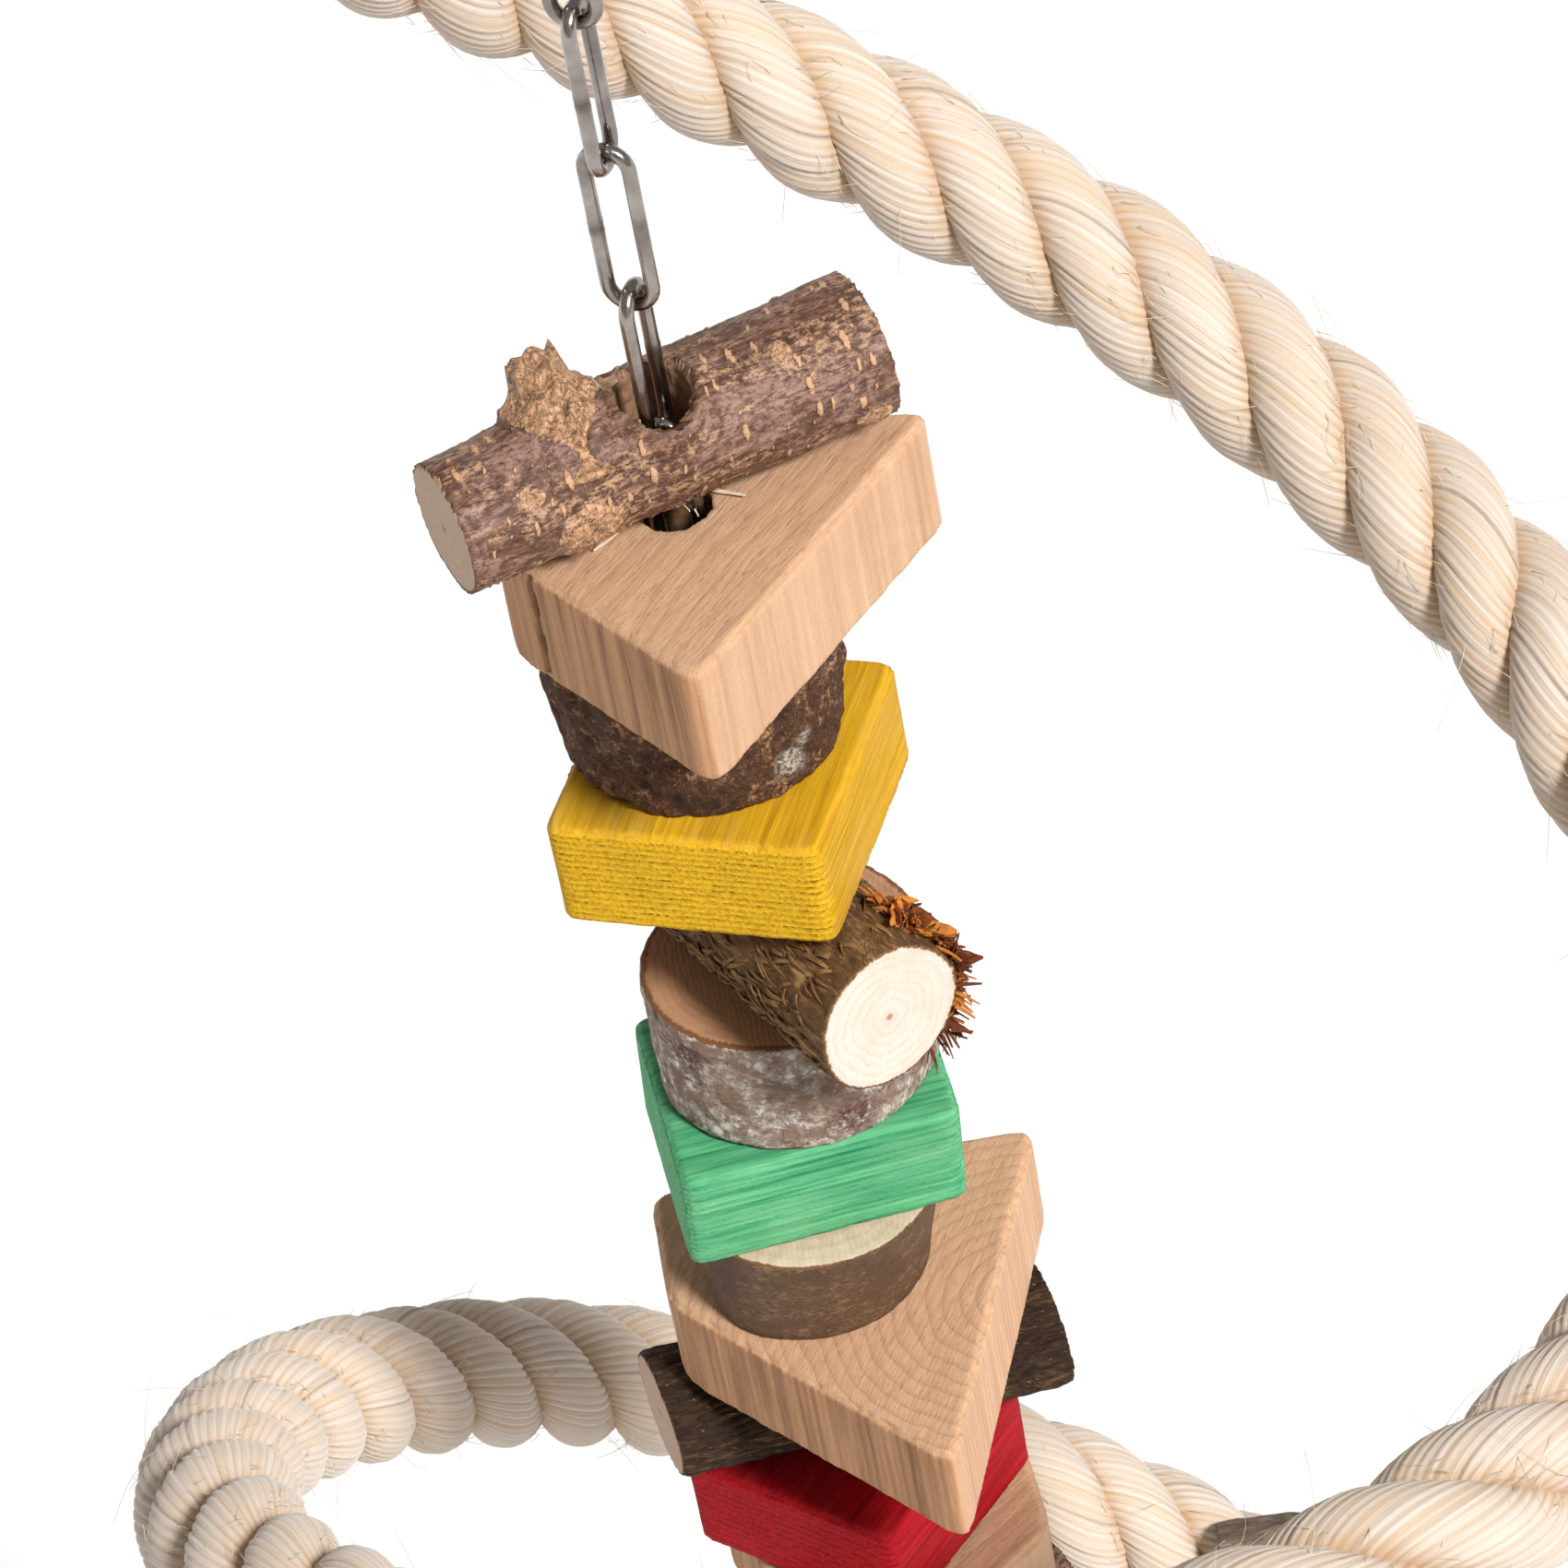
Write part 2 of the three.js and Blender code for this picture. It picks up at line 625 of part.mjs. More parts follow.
const ropePath = [];
for (const y of [ropeTail, leadStraight, leadStraight / 2, -leadStraight / 2]) {
  ropePath.push(new THREE.Vector3(0, y, ropeEndLevel));
}
const arcSteps = 16;
for (let i = 0; i <= arcSteps; i += 1) {
  const angle = (Math.PI * i) / arcSteps;
  const x = -leadRadius + leadRadius * Math.cos(angle);
  const y = -leadStraight - leadRadius * Math.sin(angle);
  ropePath.push(new THREE.Vector3(x, y, leadHeight(leadLength - leadRadius * angle)));
}
const coilSteps = Math.round((coilTurns * 360) / coilStepDegrees);
for (let i = 0; i <= coilSteps; i += 1) {
  ropePath.push(coilPoint(coilTopDegrees - (coilTurns * 360 * i) / coilSteps));
}

let ropeLength = 0;
for (let i = 1; i < ropePath.length; i += 1) {
  ropeLength += ropePath[i].distanceTo(ropePath[i - 1]);
}
const oneTurn = Math.round(360 / coilStepDegrees);
let leastTurnGap = Infinity;
for (let i = 0; i < ropePath.length; i += 1) {
  for (let j = i + Math.floor(oneTurn / 3); j < ropePath.length; j += 1) {
    leastTurnGap = Math.min(leastTurnGap, ropePath[i].distanceTo(ropePath[j]) - ropeDiameter);
  }
}
console.log(`rope length ${ropeLength.toFixed(0)} mm, least gap to itself ${leastTurnGap.toFixed(1)} mm`);

const coreBore = (coreDiameter + core_clearance) / 2 / Math.cos(Math.PI / 6);
let rope = solidOf(sweptBar(ropePath, ropeDiameter / 2, 12, false, coreBore, 6));
const ropeBoltHole = uprightBar(ropeTop + 5, ropeTop - ropeDiameter - 5, boltHole / 2, 12);
rope = rope.subtract(solidOf(ropeBoltHole));

// Perch branch with its saddle, and the screw that passes beside the core wire
const perchAngle = perchTurnDegrees - 360;
const perchOnRope = coilPoint(perchAngle);
const ropeAhead = coilPoint(perchAngle - coilStepDegrees).sub(coilPoint(perchAngle + coilStepDegrees));
ropeAhead.normalize();
const screwUp = up.clone().addScaledVector(ropeAhead, -ropeAhead.z).normalize();
const screwSide = new THREE.Vector3().crossVectors(ropeAhead, screwUp);
function onScrew(run) {
  return perchOnRope.clone().addScaledVector(screwSide, perchScrewBeside).addScaledVector(screwUp, run);
}
const perchAlong = new THREE.Vector3(Math.cos(perchHeading), Math.sin(perchHeading), 0);
const perchMiddle = onScrew(perchSeat).addScaledVector(perchAlong, perchLength / 2 - perchPastScrew);
const perchShape = branch(perchDiameter, perchLength, 9);
perchShape.rotateZ(perchHeading);
perchShape.translate(perchMiddle.x, perchMiddle.y, perchMiddle.z);
const screwHole = perchScrewDiameter / 2 + bolt_clearance;
const screwTip = perchSeat + perchScrewBite;
const pilot = solidOf(bar(onScrew(0), onScrew(screwTip + touchGap), screwHole, 10));
const ropeRoom = [];
for (let i = -3; i <= 3; i += 1) {
  ropeRoom.push(coilPoint(perchAngle - i * coilStepDegrees));
}
const ropeAllowance = ropeDiameter / 2 + 2 * touchGap;
const saddle = solidOf(sweptBar(ropeRoom, ropeAllowance, 12));
place('perch_branch', geometryOf(solidOf(perchShape).subtract(saddle).subtract(pilot)), greyBark);

const washerFace = -ropeDiameter / 2 - touchGap;
const washerBack = washerFace - washerThickness;
const headFace = washerBack - touchGap;
const headBack = headFace - perchScrewHead;
const screwShank = solidOf(bar(onScrew(headBack + 1), onScrew(screwTip), perchScrewDiameter / 2, 10));
const screwHead = solidOf(bar(onScrew(headBack), onScrew(headFace), perchScrewDiameter, 6));
place('perch_screw', geometryOf(screwShank.add(screwHead)), steel);
const perchWasher = solidOf(bar(onScrew(washerBack), onScrew(washerFace), perchWasherDiameter / 2, 20));
const perchWasherHole = solidOf(bar(onScrew(washerBack - 1), onScrew(washerFace + 1), screwHole, 12));
place('perch_washer', geometryOf(perchWasher.subtract(perchWasherHole)), steel);
const ropeScrewHole = solidOf(bar(onScrew(-ropeDiameter), onScrew(ropeDiameter), screwHole, 10));
rope = rope.subtract(ropeScrewHole);
place('rope_spiral', geometryOf(rope), sisal);

// Spring-steel wire inside the rope that keeps the coil in shape: it stops short of the bolt
const corePath = ropePath.slice(4);
const coreEnd = corePath.length - 1;
corePath[coreEnd] = corePath[coreEnd].clone().lerp(corePath[coreEnd - 1], 0.1);
place('core_wire', sweptBar(corePath, coreDiameter / 2, 6), wire);

// Cups pressed on both rope ends so that the strands can't open
function endCap(name, end, inward) {
  const along = inward.clone().normalize();
  const inside = ropeDiameter / 2 + 2 * touchGap;
  const outside = inside + capWall;
  const back = end.clone().addScaledVector(along, -touchGap - capWall);
  const floor = end.clone().addScaledVector(along, -touchGap);
  const mouth = end.clone().addScaledVector(along, capLength);
  const past = end.clone().addScaledVector(along, capLength + 1);
  const cup = solidOf(bar(back, mouth, outside, 20)).subtract(solidOf(bar(floor, past, inside, 20)));
  place(name, geometryOf(cup), steel);
}
endCap('rope_cap_upper', ropePath[0], ropePath[1].clone().sub(ropePath[0]));
const lowerEnd = ropePath[ropePath.length - 1];
endCap('rope_cap_lower', lowerEnd, ropePath[ropePath.length - 2].clone().sub(lowerEnd));

export default group;
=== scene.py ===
"""Bird climbing spiral, dressed for looks. Metres, +Z up, origin at the hang point in the quick link."""
import math

import bpy
import numpy as np
from mathutils import Matrix, Vector


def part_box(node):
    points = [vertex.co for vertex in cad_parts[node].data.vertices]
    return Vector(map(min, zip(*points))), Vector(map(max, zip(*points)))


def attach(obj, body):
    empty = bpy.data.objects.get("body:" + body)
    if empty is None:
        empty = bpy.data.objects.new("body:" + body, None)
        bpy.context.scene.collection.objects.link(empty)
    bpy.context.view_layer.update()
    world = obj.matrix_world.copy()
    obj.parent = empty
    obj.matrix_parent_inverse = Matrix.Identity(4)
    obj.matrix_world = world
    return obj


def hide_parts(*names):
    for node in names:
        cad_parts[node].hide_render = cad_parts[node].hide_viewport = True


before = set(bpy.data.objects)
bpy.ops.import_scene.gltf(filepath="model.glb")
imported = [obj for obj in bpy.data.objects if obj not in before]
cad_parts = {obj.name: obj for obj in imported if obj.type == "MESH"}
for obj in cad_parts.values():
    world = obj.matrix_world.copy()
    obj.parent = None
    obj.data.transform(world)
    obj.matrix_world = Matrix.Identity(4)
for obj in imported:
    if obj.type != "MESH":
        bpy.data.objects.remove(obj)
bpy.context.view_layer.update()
MM = 0.001
FULL_TURN = 2 * math.pi


# Camera at the photograph's viewing angle

def place_camera():
    """The pose was worked out from the chain, the bores and the blocks' corners."""
    photo_size = 1700
    focal_pixels = 7617.4
    right = Vector((0.97982, -0.13740, -0.14519))
    up = Vector((0.19976, 0.64658, 0.73622))
    back = right.cross(up)
    data = bpy.data.cameras.new("photo_camera")
    data.sensor_width = 36.0
    data.lens = focal_pixels / photo_size * data.sensor_width
    data.clip_start = 0.05
    data.clip_end = 40.0
    camera = bpy.data.objects.new("photo_camera", data)
    bpy.context.scene.collection.objects.link(camera)
    turn = Matrix((right, up, back)).transposed().to_4x4()
    camera.matrix_world = Matrix.Translation((0.0, -0.708226, 0.281583)) @ turn
    bpy.context.scene.camera = camera


place_camera()


# Repeatable roughness for shapes

def lattice(cells, seed):
    x, y, z = (cells[:, i].astype(np.int64) for i in range(3))
    mixed = (x * 374761393 + y * 668265263 + z * 1440662683 + seed * 1274126177) & 0xFFFFFFFF
    mixed = ((mixed ^ (mixed >> 13)) * 1274126177) & 0xFFFFFFFF
    return ((mixed ^ (mixed >> 16)) & 0xFFFF) / 65535.0


def rough(places, seed=0):
    """Smooth noise from -1 to 1 at each place; one unit is about one bump."""
    base = np.floor(places)
    part = places - base
    part = part * part * (3 - 2 * part)
    total = np.zeros(len(places))
    for corner in np.ndindex(2, 2, 2):
        weight = np.prod(np.where(corner, part, 1 - part), axis=1)
        total += weight * lattice(base + corner, seed)
    return 2 * total - 1


def ease(values, low, high):
    """0 below low, 1 above high, smooth between."""
    part = np.clip((values - low) / (high - low), 0, 1)
    return part * part * (3 - 2 * part)


# Meshes

def mesh_piece(name, points, faces, material, smooth=True):
    """points in millimetres"""
    mesh = bpy.data.meshes.new(name)
    mesh.from_pydata((np.asarray(points) * MM).tolist(), [], faces)
    mesh.update()
    if smooth:
        mesh.shade_smooth()
    mesh.materials.append(material)
    piece = bpy.data.objects.new(name, mesh)
    bpy.context.scene.collection.objects.link(piece)
    return piece


def note(piece, label, values):
    """Keeps a number or a vector per point for the material to read."""
    values = np.asarray(values, dtype=np.float32)
    kind = "FLOAT" if values.ndim == 1 else "FLOAT_VECTOR"
    attribute = piece.data.attributes.new(label, kind, "POINT")
    attribute.data.foreach_set("value" if values.ndim == 1 else "vector", values.ravel())


def stands_for(piece, body, slot, *nodes):
    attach(piece, body)
    if nodes:
        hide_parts(*nodes)
    return piece


def frames_along(path, closed=False):
    """Directions along, beside and across a path, carried along it without twist."""
    path = np.asarray(path, dtype=float)
    if closed:
        along = np.roll(path, -1, axis=0) - np.roll(path, 1, axis=0)
    else:
        along = np.gradient(path, axis=0)
    along /= np.linalg.norm(along, axis=1)[:, None]
    side = np.array([0.0, 1.0, 0.0]) if abs(along[0][1]) < 0.9 else np.array([0.0, 0.0, 1.0])
    beside = np.empty_like(path)
    for i, direction in enumerate(along):
        side = side - direction * side.dot(direction)
        side /= np.linalg.norm(side)
        beside[i] = side
    return along, beside, np.cross(along, beside)


def ring_faces(rings, sides, closed):
    faces = []
    for i in range(rings if closed else rings - 1):
        here = i * sides
        after = (i + 1) % rings * sides
        for k in range(sides):
            m = (k + 1) % sides
            faces.append((here + k, here + m, after + m, after + k))
    if not closed:
        faces.append(tuple(range(sides - 1, -1, -1)))
        last = (rings - 1) * sides
        faces.append(tuple(range(last, last + sides)))
    return faces


def swept(path, radius, sides, closed=False):
    """Points and faces of a round bar; radius is one number or one per point of the path."""
    path = np.asarray(path, dtype=float)
    along, beside, across = frames_along(path, closed)
    radius = np.broadcast_to(np.asarray(radius, dtype=float), (len(path),))
    angle = np.arange(sides) * FULL_TURN / sides
    around = np.cos(angle)[None, :, None] * beside[:, None] + np.sin(angle)[None, :, None] * across[:, None]
    points = path[:, None] + radius[:, None, None] * around
    return points.reshape(-1, 3), ring_faces(len(path), sides, closed)


def joined(*shapes):
    """Several shapes as one list of points and faces."""
    points, faces, count = [], [], 0
    for shape_points, shape_faces in shapes:
        points.append(np.asarray(shape_points))
        faces += [tuple(i + count for i in face) for face in shape_faces]
        count += len(shape_points)
    return np.concatenate(points), faces


def turned(profile, sides):
    """Points and faces of a piece turned on a lathe: profile is (radius, z), and closes on its start."""
    angle = np.arange(sides) * FULL_TURN / sides
    points = []
    for radius, z in profile:
        points.append(np.stack([radius * np.cos(angle), radius * np.sin(angle), np.full(sides, z)], axis=1))
    return np.concatenate(points), ring_faces(len(profile), sides, True)


# Shader helpers

def srgb(red, green, blue):
    """A picture colour, 0 to 255, as the shader's linear colour."""
    linear = []
    for value in (red, green, blue):
        value /= 255.0
        linear.append(value / 12.92 if value <= 0.04045 else ((value + 0.055) / 1.055) ** 2.4)
    return (*linear, 1.0)


def add(tree, kind, feeds=None, **settings):
    """A shader node with its settings, and its inputs by name or number set or linked."""
    made = tree.nodes.new(kind)
    for label, value in settings.items():
        setattr(made, label, value)
    for label, source in (feeds or {}).items():
        if isinstance(source, bpy.types.NodeSocket):
            tree.links.new(source, made.inputs[label])
        else:
            made.inputs[label].default_value = source
    return made


def tree_of(*values):
    """The node tree that the first socket among the values is in."""
    return next(value.id_data for value in values if isinstance(value, bpy.types.NodeSocket))


def calc(operation, *values):
    return add(tree_of(*values), "ShaderNodeMath", dict(enumerate(values)), operation=operation).outputs[0]


def times(first, second):
    return calc("MULTIPLY", first, second)


def plus(first, second):
    return calc("ADD", first, second)


def span(value, low, high, to_low=0.0, to_high=1.0):
    feeds = {"Value": value, "From Min": low, "From Max": high, "To Min": to_low, "To Max": to_high}
    return add(tree_of(value), "ShaderNodeMapRange", feeds).outputs["Result"]


def blend(factor, first, second):
    """The first colour where the factor is 0, the second where it is 1."""
    feeds = {0: factor, 6: first, 7: second}
    return add(tree_of(factor, first, second), "ShaderNodeMix", feeds, data_type="RGBA").outputs[2]


def blend_height(factor, first, second):
    feeds = {0: factor, 2: first, 3: second}
    return add(tree_of(factor, first, second), "ShaderNodeMix", feeds, data_type="FLOAT").outputs[0]


def stretch(place, amounts):
    return add(tree_of(place), "ShaderNodeVectorMath", {0: place, 1: amounts},
               operation="MULTIPLY").outputs[0]


def noise_at(place, scale, detail=4.0, roughness=0.55):
    feeds = {"Vector": place, "Scale": scale, "Detail": detail, "Roughness": roughness}
    return add(tree_of(place), "ShaderNodeTexNoise", feeds).outputs["Fac"]


def noted(tree, label, output="Fac"):
    return add(tree, "ShaderNodeAttribute", attribute_name=label).outputs[output]


def group(name, inputs, outputs):
    made = bpy.data.node_groups.new(name, "ShaderNodeTree")
    for label, kind, value in inputs:
        socket = made.interface.new_socket(label, in_out="INPUT", socket_type=kind)
        if value is not None:
            socket.default_value = value
    for label in outputs:
        made.interface.new_socket(label, in_out="OUTPUT", socket_type="NodeSocketFloat")
    return made, made.nodes.new("NodeGroupInput").outputs, made.nodes.new("NodeGroupOutput").inputs


def use(made, **feeds):
    """Places a node group in the tree of what feeds it."""
    return add(tree_of(*feeds.values()), "ShaderNodeGroup", feeds, node_tree=made)


IN_MM = (1000.0, 1000.0, 1000.0)
FLOAT = "NodeSocketFloat"
VECTOR = "NodeSocketVector"


def make_fibre_group():
    """Wood fibre: long streaks and short dark pores. Places in millimetres, x along the grain."""
    made, given, out = group("wood fibre", [("Place", VECTOR, None), ("Length", FLOAT, 14.0),
                                            ("Fineness", FLOAT, 0.9)], ["Streak", "Pores", "Height"])
    shrink = calc("DIVIDE", 1.0, given["Length"])
    scale = add(made, "ShaderNodeCombineXYZ", {0: shrink, 1: 1.0, 2: 1.0}).outputs[0]
    place = stretch(given["Place"], scale)
    streak = noise_at(place, given["Fineness"], 5.0, 0.62)
    fine = times(given["Fineness"], 3.3)
    pores = noise_at(place, fine, 2.0, 0.5)
    made.links.new(span(streak, 0.3, 0.7), out["Streak"])
    made.links.new(span(pores, 0.58, 0.72), out["Pores"])
    made.links.new(calc("SUBTRACT", streak, times(pores, 0.6)), out["Height"])
    return made


def make_saw_group():
    """Saw marks: wavering ribs across the direction that Run counts along, in millimetres."""
    made, given, out = group("saw marks", [("Place", VECTOR, None), ("Run", FLOAT, 0.0),
                                           ("Spacing", FLOAT, 1.1), ("Waver", FLOAT, 0.5)],
                             ["Rib", "Height"])
    drift = noise_at(given["Place"], 0.22, 3.0, 0.6)
    shifted = plus(given["Run"], times(drift, given["Waver"]))
    phase = times(calc("DIVIDE", shifted, given["Spacing"]), FULL_TURN)
    wave = span(calc("SINE", phase), -1.0, 1.0)
    torn = noise_at(given["Place"], 1.6, 4.0, 0.65)
    height = times(wave, span(torn, 0.3, 0.7, 0.35, 1.0))
    made.links.new(height, out["Rib"])
    made.links.new(plus(height, times(torn, 0.7)), out["Height"])
    return made


def make_ring_group():
    """Growth rings seen on a cut across the grain: Reach is the distance from the pith, in millimetres."""
    made, given, out = group("growth rings", [("Place", VECTOR, None), ("Reach", FLOAT, 0.0),
                                              ("Width", FLOAT, 1.6)], ["Ring", "Rays"])
    drift = noise_at(given["Place"], 0.12, 3.0, 0.6)
    reach = plus(given["Reach"], times(drift, 3.2))
    phase = calc("FRACT", calc("DIVIDE", reach, given["Width"]))
    ring = calc("POWER", phase, 2.6)
    uneven = noise_at(given["Place"], 0.3, 2.0, 0.5)
    made.links.new(times(ring, span(uneven, 0.3, 0.65, 0.25, 1.0)), out["Ring"])
    axes = add(made, "ShaderNodeSeparateXYZ", {0: given["Place"]}).outputs
    around = times(calc("ARCTAN2", axes[2], axes[1]), 9.0)
    outward = times(given["Reach"], 0.14)
    fan = add(made, "ShaderNodeCombineXYZ", {0: around, 1: outward, 2: axes[0]}).outputs[0]
    made.links.new(span(noise_at(fan, 1.0, 4.0, 0.65), 0.38, 0.66), out["Rays"])
    return made


def make_bark_group():
    """Bark: broad tone, flaky plates and cracks between them. Places in millimetres, x along the branch."""
    made, given, out = group("bark skin", [("Place", VECTOR, None), ("Long", FLOAT, 3.0),
                                           ("Size", FLOAT, 2.2)], ["Tone", "Plates", "Cracks", "Height"])
    shrink = calc("DIVIDE", 1.0, given["Long"])
    scale = add(made, "ShaderNodeCombineXYZ", {0: shrink, 1: 1.0, 2: 1.0}).outputs[0]
    place = stretch(given["Place"], scale)
    fine = calc("DIVIDE", 1.0, given["Size"])
    tone = noise_at(place, times(fine, 0.28), 4.0, 0.6)
    plates = noise_at(place, fine, 6.0, 0.68)
    crease = noise_at(place, times(fine, 0.7), 5.0, 0.6)
    fold = calc("ABSOLUTE", calc("SUBTRACT", crease, 0.5))
    cracks = times(span(fold, 0.0, 0.035, 1.0, 0.0), span(plates, 0.4, 0.6))
    made.links.new(span(tone, 0.3, 0.7), out["Tone"])
    made.links.new(span(plates, 0.32, 0.68), out["Plates"])
    made.links.new(cracks, out["Cracks"])
    made.links.new(calc("SUBTRACT", plates, times(cracks, 0.5)), out["Height"])
    return made


def make_weather_group():
    """Slow changes of tone over a piece, and small specks of dirt."""
    made, given, out = group("weathering", [("Place", VECTOR, None), ("Size", FLOAT, 14.0)],
                             ["Tone", "Specks"])
    slow = calc("DIVIDE", 1.0, given["Size"])
    made.links.new(span(noise_at(given["Place"], slow, 3.0, 0.6), 0.3, 0.7), out["Tone"])
    specks = noise_at(given["Place"], times(slow, 16.0), 3.0, 0.7)
    made.links.new(span(specks, 0.64, 0.74), out["Specks"])
    return made


fibre = make_fibre_group()
saw_marks = make_saw_group()
growth_rings = make_ring_group()
bark_skin = make_bark_group()
weathering = make_weather_group()


def finish_named(name, roughness=0.8, specular=0.3, metallic=0.0):
    """A new material: its node tree, its shader, and the step that completes it."""
    material = bpy.data.materials.new(name)
    material.use_nodes = True
    tree = material.node_tree
    shader = tree.nodes["Principled BSDF"]
    shader.inputs["Roughness"].default_value = roughness
    shader.inputs["Specular IOR Level"].default_value = specular
    shader.inputs["Metallic"].default_value = metallic

    def done(colour, height=None, depth_mm=0.0):
        """Gives the shader its colour and, where there is a height, its relief."""
        tree.links.new(colour, shader.inputs["Base Color"])
        if height is not None:
            bump = add(tree, "ShaderNodeBump", {"Height": height, "Distance": depth_mm * MM,
                                                "Strength": 1.0})
            tree.links.new(bump.outputs[0], shader.inputs["Normal"])
        return material

    return tree, shader, done


def sisal_rope():
    """Cream yarns with fine hairs, tan colour and painted shade in the grooves between strands and yarns,
    and here and there a greenish one.
    """
    tree, shader, done = finish_named("sisal rope", 0.72, 0.25)
    shader.inputs["Sheen Weight"].default_value = 0.25
    shader.inputs["Sheen Roughness"].default_value = 0.5
    place = noted(tree, "yarn_place", "Vector")
    groove = noted(tree, "groove")
    hairs = noise_at(stretch(place, (0.035, 3.2, 1.0)), 1.0, 5.0, 0.7)
    yarns = noise_at(stretch(place, (0.012, 0.9, 1.0)), 1.0, 2.0, 0.5)
    slow = noise_at(stretch(place, (0.02, 0.12, 1.0)), 1.0, 2.0, 0.5)
    colour = blend(span(hairs, 0.3, 0.7), srgb(198, 177, 155), srgb(219, 210, 201))
    colour = blend(span(yarns, 0.48, 0.74, 0.0, 0.5), colour, srgb(200, 164, 116))
    colour = blend(span(slow, 0.4, 0.75, 0.0, 0.35), colour, srgb(206, 180, 152))
    green = noise_at(stretch(place, (0.05, 5.0, 1.0)), 1.0, 1.0, 0.5)
    colour = blend(span(green, 0.76, 0.82, 0.0, 0.5), colour, srgb(150, 140, 84))
    # painted shade: tan where the groove mask marks the strands' inner flanks and the valleys between yarns
    colour = blend(span(groove, 0.15, 1.0, 0.0, 0.8), colour, srgb(180, 138, 86))
    return done(colour, hairs, 0.22)


def loose_fibre():
    tree, _, done = finish_named("loose sisal fibre", 0.6, 0.3)
    place = add(tree, "ShaderNodeTexCoord").outputs["Object"]
    tone = use(weathering, Place=place, Size=0.02).outputs["Tone"]
    return done(blend(tone, srgb(206, 186, 152), srgb(230, 220, 202)))


def steel(name, dark, bright, roughness, grain):
    """Round steel stock: drawn and tumbled, with a slow change of tone, darker and rougher at the weld."""
    tree, shader, done = finish_named(name, roughness, 0.5, 1.0)
    place = stretch(add(tree, "ShaderNodeTexCoord").outputs["Object"], IN_MM)
    weather = use(weathering, Place=place, Size=6.0)
    scratches = noise_at(stretch(place, (1.0, 1.0, 0.12)), grain, 3.0, 0.6)
    colour = blend(weather.outputs["Tone"], dark, bright)
    weld = noted(tree, "weld")
    colour = blend(times(weld, 0.6), colour, srgb(70, 58, 50))
    rougher = plus(span(scratches, 0.35, 0.7, roughness - 0.07, roughness + 0.12), times(weld, 0.2))
    tree.links.new(rougher, shader.inputs["Roughness"])
    return done(colour, scratches, 0.012)


def cork_colour(place, grit):
    """Corky growth: tan crumbs with dark gullies between them."""
    crumbs = blend(span(grit, 0.35, 0.68), srgb(116, 80, 56), srgb(224, 176, 134))
    gully = calc("ABSOLUTE", calc("SUBTRACT", noise_at(place, 0.55, 4.0, 0.65), 0.5))
    return blend(span(gully, 0.0, 0.035, 0.8, 0.0), crumbs, srgb(58, 36, 24))


def young_bark(colour, place, pores, deep, spots):
    """Smooth young bark: grain, dark and pale bands, raised pores. Gives its colour and the pores."""
    bands = noise_at(stretch(place, (0.045, 0.22, 0.22)), 1.0, 3.0, 0.6)
    grain = noise_at(stretch(place, (0.6, 1.0, 1.0)), 1.3, 6.0, 0.8)
    rough_band = plus(span(bands, 0.62, 0.42, 0.0, 0.22), grain)
    colour = blend(span(grain, 0.53, 0.41, 0.0, 0.9), colour, deep)
    colour = blend(span(bands, 0.5, 0.38, 0.0, 0.55), colour, deep)
    colour = blend(span(rough_band, 0.69, 0.81, 0.0, 0.85), colour, spots)
    mottle = noise_at(place, 2.2, 3.0, 0.6)
    raised = span(plus(pores, times(mottle, 0.5)), 0.55, 0.85)
    return blend(raised, colour, spots), raised


def bark(name, deep, middle, light, long, size, depth, roughness=0.85, spots=None, blotch=None, fleck=None):
    """Bark of one kind of wood. Spots are raised pores, blotch is a slow stain, flecks are small.
    Blotch and fleck are each a colour and a size in millimetres."""
    tree, _, done = finish_named(name, roughness, 0.3)
    place = noted(tree, "place", "Vector")
    skin = use(bark_skin, Place=place, Long=long, Size=size)
    colour = blend(skin.outputs["Plates"], deep, middle)
    slow = times(skin.outputs["Tone"], skin.outputs["Plates"])
    colour = blend(span(slow, 0.25, 0.7, 0.0, 0.9), colour, light)
    grit = noise_at(place, 1.5, 6.0, 0.75)
    if blotch:
        slow = use(weathering, Place=place, Size=blotch[1]).outputs["Tone"]
        ragged = plus(slow, times(grit, 0.8))
        colour = blend(span(ragged, 0.88, 1.06, 0.0, 0.85), colour, blotch[0])
    if fleck:
        speck = use(weathering, Place=stretch(place, (0.3, 1.0, 1.0)), Size=fleck[1])
        colour = blend(times(speck.outputs["Specks"], 0.9), colour, fleck[0])
    colour = blend(times(skin.outputs["Cracks"], 0.55), colour, deep)
    height = skin.outputs["Height"]
    if spots:
        colour, raised = young_bark(colour, place, noted(tree, "pores"), deep, spots)
        height = plus(height, times(raised, 0.6))
    # painted shade: the bark is darkened where its relief lies low
    colour = blend(span(noted(tree, "hollow_shade"), 0.15, 0.9, 0.0, 0.7), colour, deep)
    cork = plus(noted(tree, "cork"), times(grit, 0.4))
    colour = blend(span(cork, 0.55, 0.8), colour, cork_colour(place, grit))
    lichen = times(noted(tree, "lichen"), span(grit, 0.42, 0.56))
    colour = blend(lichen, colour, srgb(196, 188, 172))
    stain = times(noted(tree, "stain"), span(grit, 0.62, 0.46))
    colour = blend(stain, colour, srgb(88, 58, 48))
    inner = use(fibre, Place=place, Length=10.0, Fineness=1.2)
    pale = blend(inner.outputs["Streak"], srgb(196, 158, 118), srgb(222, 196, 162))
    colour = blend(span(noted(tree, "bare"), 0.4, 0.6), colour, pale)
    return done(colour, height, depth)


